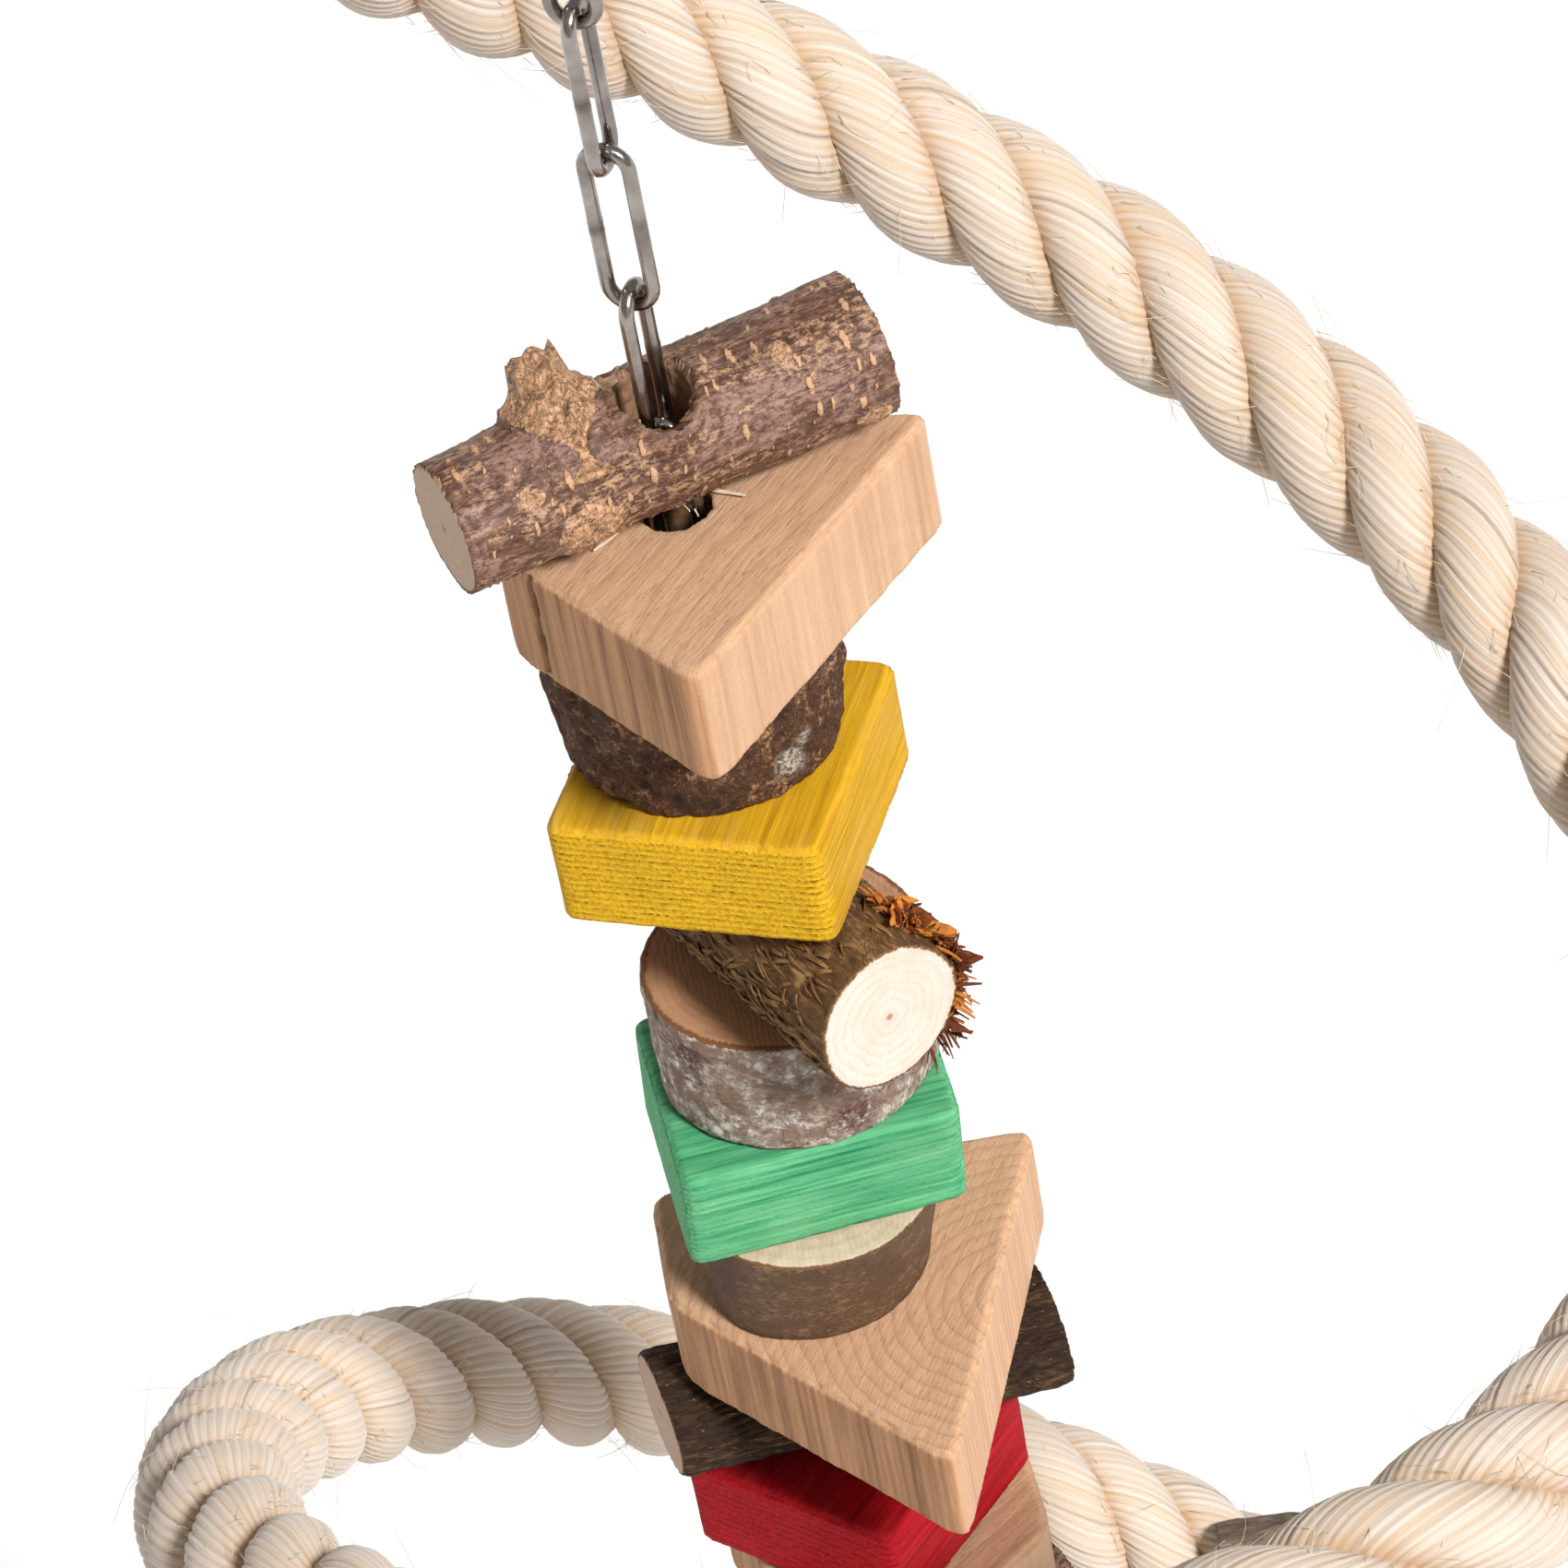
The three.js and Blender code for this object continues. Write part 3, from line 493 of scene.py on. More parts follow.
def cut_end(name, pale, ring, ray, ring_width, rim_width=0.7, saw_depth=0.07, centre=(168, 96, 40)):
    """A branch sawn across: rings round the pith, fine rays, a bark rim and painted shade in the bore."""
    tree, _, done = finish_named(name, 0.75, 0.25)
    place = noted(tree, "place", "Vector")
    flat = stretch(place, (0.0, 1.0, 1.0))
    reach = add(tree, "ShaderNodeVectorMath", {0: flat}, operation="LENGTH").outputs["Value"]
    rings = use(growth_rings, Place=place, Reach=reach, Width=ring_width)
    colour = blend(times(rings.outputs["Ring"], 0.55), pale, ring)
    colour = blend(times(rings.outputs["Rays"], 0.35), colour, ray)
    weather = use(weathering, Place=place, Size=9.0)
    colour = blend(span(weather.outputs["Tone"], 0.4, 1.0, 0.0, 0.35), colour, ring)
    pith = span(plus(reach, times(weather.outputs["Tone"], 0.5)), 0.6, 1.1, 1.0, 0.0)
    colour = blend(times(pith, 0.8), colour, srgb(*centre))
    frayed = times(noise_at(place, 1.1, 4.0, 0.6), 0.7)
    rim = span(plus(noted(tree, "rim_room"), frayed), rim_width + 0.25, rim_width)
    colour = blend(rim, colour, srgb(118, 78, 48))
    # painted shade: the drilled bore is darkened
    colour = blend(times(noted(tree, "bore"), 0.8), colour, srgb(116, 78, 48))
    across = add(tree, "ShaderNodeSeparateXYZ", {0: place}).outputs[1]
    saw = use(saw_marks, Place=place, Run=across, Spacing=0.8, Waver=2.0)
    return done(colour, plus(saw.outputs["Height"], times(rings.outputs["Ring"], 0.5)), saw_depth)


def sawn_board(name, light, dark, line, deep_line, heart=(0.0, -400.0), ring_width=3.4, waver=9.0):
    """Untreated board: growth lines round the tree's heart on top, standing upright on the sawn sides."""
    tree, _, done = finish_named(name, 0.72, 0.25)
    place = noted(tree, "place", "Vector")
    axes = add(tree, "ShaderNodeSeparateXYZ", {0: place}).outputs
    side_face = noted(tree, "side_face")
    grain = use(fibre, Place=place, Length=12.0, Fineness=1.9)
    colour = blend(grain.outputs["Streak"], dark, light)
    drift = noise_at(stretch(place, (0.03, 0.1, 0.05)), 1.0, 2.0, 0.5)
    from_heart = add(tree, "ShaderNodeVectorMath", {0: stretch(place, (1.0, 1.0, 0.0)), 1: (*heart, 0.0)},
                     operation="DISTANCE").outputs["Value"]
    ring_run = plus(from_heart, times(drift, waver))
    phase = calc("FRACT", calc("DIVIDE", ring_run, ring_width))
    late = calc("POWER", phase, 4.0)
    colour = blend(times(late, 0.7), colour, line)
    colour = blend(times(grain.outputs["Pores"], 0.9), colour, deep_line)
    upright = noise_at(stretch(place, (0.5, 0.5, 0.02)), 1.0, 6.0, 0.7)
    end_grain = blend(span(upright, 0.34, 0.6), srgb(132, 90, 60), srgb(192, 144, 104))
    long_side = blend(span(upright, 0.3, 0.66), dark, light)
    long_side = blend(times(late, 0.1), long_side, line)
    side = blend(noted(tree, "end_face"), long_side, end_grain)
    colour = blend(side_face, colour, side)
    weather = use(weathering, Place=place, Size=18.0)
    colour = blend(times(weather.outputs["Tone"], 0.25), colour, dark)
    colour = blend(times(noted(tree, "worn"), 0.35), colour, srgb(214, 170, 124))
    # painted shade: dark brown in the bore and in the cracks
    colour = blend(span(noted(tree, "hollow_shade"), 0.3, 1.0, 0.0, 0.9), colour, srgb(70, 42, 24))
    ribs = use(saw_marks, Place=place, Run=plus(axes[0], axes[1]), Spacing=1.9, Waver=1.2)
    height = blend_height(side_face, grain.outputs["Height"], ribs.outputs["Height"])
    return done(colour, height, 0.12)


def dyed_block(name, bright, deep, raw, line, spacing, raw_share):
    """Dyed softwood: ribs left by the saw on the ends, grain lines along the rest, wood showing through."""
    tree, _, done = finish_named(name, 0.7, 0.1)
    place = noted(tree, "place", "Vector")
    axes = add(tree, "ShaderNodeSeparateXYZ", {0: place}).outputs
    end_face = noted(tree, "end_face")
    grain = use(fibre, Place=place, Length=26.0, Fineness=1.2)
    ribs = use(saw_marks, Place=place, Run=axes[2], Spacing=spacing, Waver=0.5)
    side_face = noted(tree, "side_face")
    long_grain = blend(grain.outputs["Streak"], deep, bright)
    broken = span(noise_at(stretch(place, (0.3, 0.3, 1.0)), 0.8, 3.0, 0.6), 0.35, 0.6)
    thin = times(span(ribs.outputs["Rib"], 0.5, 0.8), broken)
    lines = times(thin, times(side_face, 0.6))
    long_grain = blend(lines, long_grain, deep)
    show = noise_at(stretch(place, (0.05, 0.3, 0.3)), 1.0, 3.0, 0.6)
    long_grain = blend(span(show, 0.45, 0.75, 0.0, raw_share), long_grain, raw)
    speckle = noise_at(stretch(place, (0.4, 1.0, 1.0)), 1.9, 4.0, 0.7)
    end = blend(span(speckle, 0.3, 0.56), deep, bright)
    end = blend(thin, end, line)
    colour = blend(end_face, long_grain, end)
    weather = use(weathering, Place=place, Size=12.0)
    colour = blend(span(weather.outputs["Tone"], 0.4, 1.0, 0.0, 0.22), colour, deep)
    colour = blend(times(noted(tree, "worn"), 0.2), colour, raw)
    # painted shade: darker in the bore and in the cracks
    colour = blend(span(noted(tree, "hollow_shade"), 0.2, 1.0, 0.0, 0.7), colour, deep)
    rough_sides = calc("MAXIMUM", end_face, times(side_face, 0.6))
    height = blend_height(rough_sides, grain.outputs["Height"], ribs.outputs["Height"])
    return done(colour, height, 0.11)


def torn_fibre(name, dark, bright):
    """Loose bark, bast or wood: mottled, with small dark specks."""
    tree, _, done = finish_named(name, 0.85, 0.2)
    place = stretch(add(tree, "ShaderNodeTexCoord").outputs["Object"], IN_MM)
    weather = use(weathering, Place=place, Size=3.0)
    colour = blend(weather.outputs["Tone"], dark, bright)
    colour = blend(times(weather.outputs["Specks"], 0.6), colour, dark)
    return done(colour, noise_at(place, 2.5, 4.0, 0.7), 0.15)


rope_finish = sisal_rope()
fibre_finish = loose_fibre()
chain_finish = steel("chain steel", srgb(122, 114, 108), srgb(178, 170, 162), roughness=0.22, grain=1.5)
hardware_finish = steel("hardware steel", srgb(160, 160, 160), srgb(196, 196, 194), roughness=0.26,
                        grain=1.2)
core_finish = steel("spring wire", srgb(96, 98, 102), srgb(132, 134, 138), roughness=0.4, grain=2.0)
hazel_finish = bark("hazel bark", srgb(74, 46, 34), srgb(138, 101, 80), srgb(178, 142, 122), long=5.0,
                    size=1.3, depth=0.32, roughness=0.5, spots=srgb(192, 150, 114),
                    blotch=(srgb(152, 118, 104), 9.0), fleck=(srgb(180, 142, 106), 4.5))
slice_bark_finish = bark("dark slice bark", srgb(34, 20, 12), srgb(128, 84, 52), srgb(204, 156, 114),
                         long=1.0, size=0.9, depth=0.9, fleck=(srgb(228, 166, 106), 3.6),
                         blotch=(srgb(84, 56, 40), 5.0))
log_bark_finish = bark("brown log bark", srgb(70, 46, 24), srgb(122, 86, 50), srgb(160, 124, 82),
                       long=3.2, size=1.2, depth=0.5, fleck=(srgb(184, 150, 98), 4.0))
ridged_bark_finish = bark("ridged bark", srgb(32, 19, 10), srgb(68, 46, 28), srgb(112, 86, 54), long=5.0,
                          size=0.8, depth=0.6, fleck=(srgb(172, 146, 90), 6.0))
birch_finish = bark("birch bark", srgb(92, 70, 56), srgb(208, 192, 178), srgb(240, 231, 223), long=0.8,
                    size=2.0, depth=0.4, fleck=(srgb(84, 58, 46), 5.5), blotch=(srgb(130, 104, 86), 4.6))
grey_bark_finish = bark("smooth grey bark", srgb(74, 52, 36), srgb(116, 88, 64), srgb(142, 114, 86),
                        long=0.4, size=1.2, depth=0.16, roughness=0.7, fleck=(srgb(70, 50, 36), 4.0),
                        blotch=(srgb(88, 64, 46), 6.0))
perch_bark_finish = bark("perch bark", srgb(84, 70, 58), srgb(128, 110, 92), srgb(160, 142, 122),
                         long=3.0, size=1.5, depth=0.3, fleck=(srgb(90, 74, 60), 6.0))
log_end_finish = cut_end("sawn branch end", srgb(222, 208, 196), srgb(200, 172, 146), srgb(212, 192, 170),
                         ring_width=1.5)
grey_end_finish = cut_end("weathered branch end", srgb(190, 164, 144), srgb(172, 142, 118),
                          srgb(182, 154, 130), ring_width=1.5)
tan_slice_finish = cut_end("tan slice face", srgb(178, 134, 100), srgb(136, 96, 68), srgb(160, 118, 88),
                           ring_width=1.3, rim_width=1.4, saw_depth=0.04)
pale_slice_finish = cut_end("pale slice face", srgb(212, 192, 168), srgb(192, 162, 130),
                            srgb(166, 138, 108), ring_width=1.9, rim_width=0.9, saw_depth=0.03)
board_finish = sawn_board("natural board", srgb(210, 172, 138), srgb(184, 142, 110), srgb(170, 128, 96),
                          srgb(142, 98, 66))
figured_board_finish = sawn_board("figured board", srgb(212, 172, 138), srgb(186, 144, 112),
                                  srgb(168, 122, 90), srgb(146, 100, 68), heart=(-4.6, -32.9),
                                  ring_width=2.3, waver=4.0)
yellow_finish = dyed_block("yellow dye", srgb(220, 174, 36), srgb(172, 122, 16), srgb(210, 164, 84),
                           srgb(118, 84, 10), spacing=1.07, raw_share=0.5)
green_finish = dyed_block("green dye", srgb(112, 190, 136), srgb(26, 122, 80), srgb(136, 192, 144),
                          srgb(18, 96, 62), spacing=0.95, raw_share=0.45)
red_finish = dyed_block("red dye", srgb(178, 22, 32), srgb(120, 4, 14), srgb(176, 52, 54),
                        srgb(92, 2, 10), spacing=1.3, raw_share=0.35)
torn_bark_finish = torn_fibre("torn bark", srgb(74, 34, 20), srgb(140, 78, 40))
fibre_bark_finish = torn_fibre("bark fibres", srgb(78, 53, 30), srgb(146, 110, 68))
bast_finish = torn_fibre("torn bast", srgb(166, 96, 34), srgb(206, 134, 58))
splinter_finish = torn_fibre("splinters", srgb(226, 206, 178), srgb(244, 230, 208))


# Rope path: end over the bolt, lead in to the axis, leaning coil

ROPE_DIAMETER = 24.0
ROPE_LEVEL = -68.8
COIL_RADIUS = 111.0
COIL_PITCH = 298.0
COIL_CENTRE = (17.0, 3.0)
COIL_BACK_LEVEL = -303.6
COIL_DROP_RIGHT = 48.5
COIL_DROP_BACK = 21.7
LEAD_STRAIGHT = 14.0
ROPE_TAIL = 30.0


def coil_point(degrees):
    angle = math.radians(degrees)
    climb = COIL_PITCH * (degrees - 90) / 360
    lean = -COIL_DROP_RIGHT * math.cos(angle) - COIL_DROP_BACK * (math.sin(angle) - 1)
    x = COIL_CENTRE[0] + COIL_RADIUS * math.cos(angle)
    y = COIL_CENTRE[1] + COIL_RADIUS * math.sin(angle)
    return np.array([x, y, COIL_BACK_LEVEL + climb + lean])


def rope_route(spacing):
    """Even points along the middle of the rope, in millimetres, from its upper end."""
    start = coil_point(180)
    lead_radius = -start[0] / 2
    lead_in = start[1] + LEAD_STRAIGHT
    lead_length = lead_in + math.pi * lead_radius
    slope = (COIL_PITCH / FULL_TURN + COIL_DROP_BACK) / COIL_RADIUS
    rise = ROPE_LEVEL - start[2]

    def lead_height(run):
        u = run / lead_length
        return start[2] + rise * u * u * (3 - 2 * u) + slope * lead_length * u * (1 - u) ** 2

    points = [(0.0, y, ROPE_LEVEL) for y in np.arange(ROPE_TAIL, -LEAD_STRAIGHT, -1.0)]
    for angle in np.linspace(0, math.pi, 150):
        x = -lead_radius + lead_radius * math.cos(angle)
        y = -LEAD_STRAIGHT - lead_radius * math.sin(angle)
        points.append((x, y, lead_height(lead_length - lead_radius * angle)))
    for run in np.linspace(lead_in, 0, 18)[1:-1]:
        points.append((start[0], start[1] - run, lead_height(run)))
    points += [coil_point(degrees) for degrees in np.arange(180, -540.1, -0.5)]
    points = np.array(points)
    runs = np.concatenate([[0], np.cumsum(np.linalg.norm(np.diff(points, axis=0), axis=1))])
    even = np.linspace(0, runs[-1], int(runs[-1] / spacing) + 1)
    return np.stack([np.interp(even, runs, points[:, i]) for i in range(3)], axis=1), even


ROPE_LAY = 57.0
STRANDS = 3
STRAND_REACH = 5.75
STRAND_RADIUS = 6.2
YARNS = 22
POINTS_PER_YARN = 3
YARN_LEAN = math.radians(-14)
YARN_RIDGE = 0.18
CUT_RINGS = 8
CUT_ROOM = 0.1
FUZZ = 8000


def cut_square(points, path, along):
    """Holds the ends of a strand back to a straight cut across the rope, clear of the cups."""
    for end, tip, inward in ((slice(0, CUT_RINGS), 0, 1), (slice(-CUT_RINGS, None), -1, -1)):
        short = np.maximum(0, CUT_ROOM - (points[end] - path[tip]) @ along[tip] * inward)
        points[end] += short[..., None] * along[tip] * inward


def lay_rope():
    """Three strands laid round each other, each with its yarns as ridges."""
    path, runs = rope_route(1.2)
    along, beside, across = frames_along(path)
    sides = YARNS * POINTS_PER_YARN
    index = np.arange(sides)
    yarn = index / POINTS_PER_YARN
    outer_slope = FULL_TURN * (STRAND_REACH + STRAND_RADIUS) / ROPE_LAY
    yarn_turn = (outer_slope - math.tan(YARN_LEAN)) / STRAND_RADIUS
    angle = FULL_TURN * index[None] / sides - yarn_turn * runs[:, None]
    ridge = np.where(index % POINTS_PER_YARN == 0, -1.0, 0.55)[None]
    open_side = ease(np.cos(angle), -0.1, 0.55)
    # painted shade mask: the flanks where strands face each other, plus the valleys between yarns, get a tan
    # shade colour
    inside = ease(-np.cos(angle), -0.85, 0.35)
    groove = np.clip(inside + np.where(ridge < 0, 0.45, 0.0), 0, 1).ravel()
    shapes, places = [], []
    for strand in range(STRANDS):
        turn = FULL_TURN * (runs / ROPE_LAY + strand / STRANDS)
        fullness = 1 + 0.035 * np.sin(runs / 37 + 2 * strand) + 0.02 * np.sin(runs / 11.3 + strand)
        out = np.cos(turn)[:, None] * beside + np.sin(turn)[:, None] * across
        middle = path + STRAND_REACH * out
        direction = np.gradient(middle, axis=0)
        direction /= np.linalg.norm(direction, axis=1)[:, None]
        out = out - direction * np.sum(out * direction, axis=1)[:, None]
        out /= np.linalg.norm(out, axis=1)[:, None]
        round_way = np.cross(direction, out)
        place = np.stack(np.broadcast_arrays(runs[:, None], yarn[None], strand * 31.0), axis=-1)
        place = place.reshape(-1, 3)
        seat = np.full(len(place), strand * 5.1)
        lumps = np.stack([place[:, 0] / 40, place[:, 1] // 1 * 7.3, seat], axis=1)
        uneven = rough(lumps, 3).reshape(angle.shape)
        yarns = YARN_RIDGE * ridge * (0.2 + 0.8 * open_side)
        radius = STRAND_RADIUS * fullness[:, None] + yarns + 0.2 * uneven
        ring = np.cos(angle)[..., None] * out[:, None] + np.sin(angle)[..., None] * round_way[:, None]
        points = middle[:, None] + radius[..., None] * ring
        cut_square(points, path, along)
        shapes.append((points.reshape(-1, 3), ring_faces(len(path), sides, False)))
        places.append(place)
    piece = mesh_piece("rope", *joined(*shapes), rope_finish)
    note(piece, "yarn_place", np.concatenate(places))
    note(piece, "groove", np.tile(groove, STRANDS))
    stands_for(piece, "spiral", "rope", "rope_spiral")
    return piece, path


def raise_fuzz(path):
    """Broken fibre ends that stand off the rope."""
    chance = np.random.default_rng(41)
    along, beside, across = frames_along(path)
    steps = np.linspace(0, 1, 6)[:, None]
    thickness = np.linspace(0.075, 0.03, len(steps))
    shapes = []
    for number in range(FUZZ):
        i = chance.integers(2, len(path) - 2)
        angle = chance.uniform(0, FULL_TURN)
        out = math.cos(angle) * beside[i] + math.sin(angle) * across[i]
        sideways = np.cross(along[i], out)
        curly = number % 14 == 0
        length = chance.uniform(5.0, 10.0) if curly else chance.uniform(1.2, 4.2)
        lean = chance.uniform(0.25, 1.0)
        forward = chance.choice([-1.0, 1.0]) * along[i] + chance.normal(0, 0.5) * sideways
        curl = chance.normal(0, 0.8 if curly else 0.35)
        root = path[i] + out * (ROPE_DIAMETER / 2 - 1.6)
        lift = out * lean * (steps - 0.35 * steps ** 2) * min(length, 9.0) * 0.8
        run = forward * steps * length + sideways * curl * steps ** 2 * length
        shapes.append(swept(root + lift + run, thickness, 3))
    piece = mesh_piece("rope_fuzz", *joined(*shapes), fibre_finish)
    stands_for(piece, "spiral", "rope")
    return piece


rope, rope_middle = lay_rope()
rope_fuzz = raise_fuzz(rope_middle)


# Chain and hardware

CHAIN_TOP = -102.6
CHAIN_PITCH = 22.0
CHAIN_WIRE = 2.0
LINKS = 20
BARE_LINKS = 7
CHAIN_TURN = math.radians(-25.6)
TOUCH_GAP = 0.3


def oval(inside_width, inside_length, wire, bow_steps, bar_steps):
    """A closed oval of wire in the XZ plane: its inside top is at z = 0."""
    bow = (inside_width + wire) / 2
    top = wire / 2 - bow
    bottom = -inside_length - wire / 2 + bow
    points = []
    for i in range(bow_steps):
        angle = math.pi * i / bow_steps
        points.append((bow * math.cos(angle), 0, top + bow * math.sin(angle)))
    points += [(-bow, 0, z) for z in np.linspace(top, bottom, bar_steps)]
    for i in range(1, bow_steps):
        angle = math.pi + math.pi * i / bow_steps
        points.append((bow * math.cos(angle), 0, bottom + bow * math.sin(angle)))
    points += [(bow, 0, z) for z in np.linspace(bottom, top, bar_steps)[:-1]]
    return np.array(points)


def hoop(mean_radius, centre_z, steps):
    angle = np.arange(steps) * FULL_TURN / steps
    return np.stack([mean_radius * np.cos(angle), np.zeros(steps),
                     centre_z + mean_radius * np.sin(angle)], axis=1)


def upright(points, turn, z=0.0):
    points = np.asarray(points, dtype=float)
    x = points[:, 0] * math.cos(turn) - points[:, 1] * math.sin(turn)
    y = points[:, 0] * math.sin(turn) + points[:, 1] * math.cos(turn)
    return np.stack([x, y, points[:, 2] + z], axis=1)


def hang_chain():
    """Twenty welded links: the weld is a thicker band with a fine seam halfway along one side."""
    path = oval(4.0, CHAIN_PITCH + TOUCH_GAP, CHAIN_WIRE, 12, 25)
    middle = -(CHAIN_PITCH + TOUCH_GAP) / 2
    off_middle = np.abs(path[:, 2] - middle)
    on_weld_side = path[:, 0] > 2.5
    weld = np.where(on_weld_side, np.exp(-(off_middle / 0.9) ** 2), 0)
    seam = np.where(on_weld_side, np.exp(-(off_middle / 0.35) ** 2), 0)
    radius = CHAIN_WIRE / 2 + 0.13 * weld - 0.12 * seam
    sides = 14
    points, faces = swept(path, radius, sides, closed=True)
    marks = np.repeat(np.clip(weld, 0, 1), sides)
    for i in range(LINKS):
        number = f"{i + 1:02d}"
        half_turn = math.pi * ((i // 2 + i) % 2)
        turn = CHAIN_TURN + i % 2 * math.pi / 2 + half_turn
        hung = upright(points, turn, CHAIN_TOP - i * CHAIN_PITCH)
        link = mesh_piece(f"welded_link_{number}", hung, faces, chain_finish)
        note(link, "weld", marks)
        body = f"link_{number}" if i < BARE_LINKS else "stack_chain"
        stands_for(link, body, "chain_steel", f"chain_link_{number}")


def hex_sleeve(bottom, top, flats, bore, centre_x):
    """Hexagon sleeve with chamfered ends and rounded corners."""
    sides = 48
    chamfer = 0.8
    end_share = 0.9
    angle = np.arange(sides) * FULL_TURN / sides
    to_flat = (angle + math.pi / 6) % (math.pi / 3) - math.pi / 6
    hexagon = np.minimum(flats / 2 / np.cos(to_flat), flats / 2 * 1.13)
    levels = [(hexagon * end_share, bottom), (hexagon, bottom + chamfer), (hexagon, top - chamfer),
              (hexagon * end_share, top), (bore, top), (bore, bottom)]
    points = []
    for reach, z in levels:
        points.append(np.stack([centre_x + reach * np.cos(angle), reach * np.sin(angle),
                                np.full(sides, z)], axis=1))
    return np.concatenate(points), ring_faces(len(levels), sides, True)


def threaded(top, bottom, radius, pitch, sides=20):
    """A threaded bar: the ridge is one helix."""
    steps = int((top - bottom) / pitch * 10)
    path = np.stack([np.zeros(steps), np.zeros(steps), np.linspace(top, bottom, steps)], axis=1)
    points, faces = swept(path, radius, sides)
    angle = np.arctan2(points[:, 1], points[:, 0])
    ridge = (points[:, 2] / pitch + angle / FULL_TURN) % 1
    depth = 0.32 * np.abs(2 * ridge - 1) * ease(top - points[:, 2], 0, 1.0)
    share = (radius - depth) / radius
    points[:, :2] *= share[:, None]
    return points, faces


def steel_piece(name, shape, body, node):
    stands_for(mesh_piece(name, *shape, hardware_finish), body, "hardware", node)


def upright_ring(mean_radius, centre_z, wire_radius, steps, sides, turn):
    points, faces = swept(hoop(mean_radius, centre_z, steps), wire_radius, sides, closed=True)
    return upright(points, turn), faces


def fit_hardware():
    """Quick link, its sleeve nut, the eye bolt and eye nut that clamp the rope, washers and end ring."""
    link_path = oval(12.0, 38.0, 5.0, 18, 30)
    gap = (link_path[:, 0] > 8.0) & (link_path[:, 2] > -28.1) & (link_path[:, 2] < -19.9)
    in_gap = int(gap.sum())
    first = int(np.argmax(gap)) + in_gap
    link_path = np.roll(link_path, -first, axis=0)[: len(link_path) - in_gap]
    steel_piece("hanger_link", swept(link_path, 2.5, 20), "hanger", "quick_link")
    steel_piece("sleeve_nut", hex_sleeve(-30.5, -17.5, 9.0, 2.9, 8.5), "gate", "gate_nut")
    eye = upright_ring(8.5, -43.7, 2.5, 48, 18, math.pi / 2)
    collar = turned([(0.1, -55.0), (4.2, -55.0), (4.2, -53.6), (3.2, -51.5), (0.1, -51.5)], 28)
    shank = threaded(-54.6, -89.8, 3.0, 1.0)
    steel_piece("rope_eye_bolt", joined(eye, collar, shank), "spiral", "eye_bolt")
    for name, node, top in (("upper_washer", "washer_upper", -55.0),
                            ("lower_washer", "washer_lower", -81.1)):
        profile = [(3.4, top - 1.5), (10.6, top - 1.5), (11.0, top - 1.2), (11.0, top - 0.3), (10.6, top),
                   (3.4, top)]
        steel_piece(name, turned(profile, 48), "spiral", node)
    hub = turned([(3.4, -90.2), (3.4, -82.9), (5.6, -82.9), (6.5, -83.8), (6.5, -90.4), (5.2, -91.9),
                  (0.1, -91.9), (0.1, -90.2)], 40)
    ring = upright_ring(7.1, -97.4, 1.6, 48, 16, CHAIN_TURN + math.pi / 2)
    steel_piece("chain_eye_nut", joined(hub, ring), "spiral", "eye_nut")
    steel_piece("last_ring", upright_ring(11.0, -552.1, 1.5, 64, 14, CHAIN_TURN), "end_ring", "end_ring")


def rope_cup(name, node, end, inward):
    """Cup pressed on the rope's cut end: rolled mouth, pressed groove, domed rim."""
    inside, outside, depth = 12.6, 13.8, 16.0
    profile = [(0.1, -1.5), (outside - 1.0, -1.5), (outside, -0.6), (outside, 5.0), (outside - 0.5, 6.0),
               (outside - 0.5, 7.6), (outside, 8.6), (outside, depth - 0.7), (outside + 0.25, depth - 0.3),
               (outside, depth), (inside + 0.2, depth), (inside, depth - 0.6), (inside, -0.3), (0.1, -0.3)]
    points, faces = turned(profile, 48)
    turn = Vector((0, 0, 1)).rotation_difference(Vector(inward)).to_matrix()
    steel_piece(name, (points @ np.array(turn).T + end, faces), "spiral", node)


hang_chain()
fit_hardware()
rope_cup("upper_cup", "rope_cap_upper", rope_middle[0], rope_middle[1] - rope_middle[0])
rope_cup("lower_cup", "rope_cap_lower", rope_middle[-1], rope_middle[-2] - rope_middle[-1])


# Wooden pieces: the CAD solid made dense, then worn, barked and marked

def dense(node, voxel):
    """A finely and evenly meshed copy of a CAD solid, drawn back onto its faces."""
    source = bpy.data.objects.new("dense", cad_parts[node].data.copy())
    bpy.context.scene.collection.objects.link(source)
    even = source.modifiers.new("even", "REMESH")
    even.mode = "VOXEL"
    even.voxel_size = voxel * MM
    close = source.modifiers.new("close", "SHRINKWRAP")
    close.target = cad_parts[node]
    close.wrap_method = "NEAREST_SURFACEPOINT"
    shaped = source.evaluated_get(bpy.context.evaluated_depsgraph_get())
    mesh = bpy.data.meshes.new_from_object(shaped)
    old = source.data
    bpy.data.objects.remove(source)
    bpy.data.meshes.remove(old)
    mesh.materials.clear()
    return mesh


def points_of(mesh):
    flat = np.empty(len(mesh.vertices) * 3)
    mesh.vertices.foreach_get("co", flat)
    normals = np.empty(len(mesh.vertices) * 3)
    mesh.vertex_normals.foreach_get("vector", normals)
    return flat.reshape(-1, 3) / MM, normals.reshape(-1, 3)


BROWN_LOG_HEADING = -63.3
BORE_RADIUS = 5
BORE_REACH = 5.45
BRANCH_SWELL = 0.035
SLICE_SWELL = 0.03
SWELLS_ALONG = 5.6
STUB_SHARE = 1.12
LEVEL_ROOM = 0.08


def level_of(node):
    low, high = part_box(node)
    return low.z / MM, high.z / MM


def branch_level(node):
    return sum(level_of(node)) / 2


def level_axes(heading):
    """Level directions along and across a heading in degrees."""
    turn = math.radians(heading)
    return np.array([math.cos(turn), math.sin(turn), 0]), np.array([-math.sin(turn), math.cos(turn), 0])


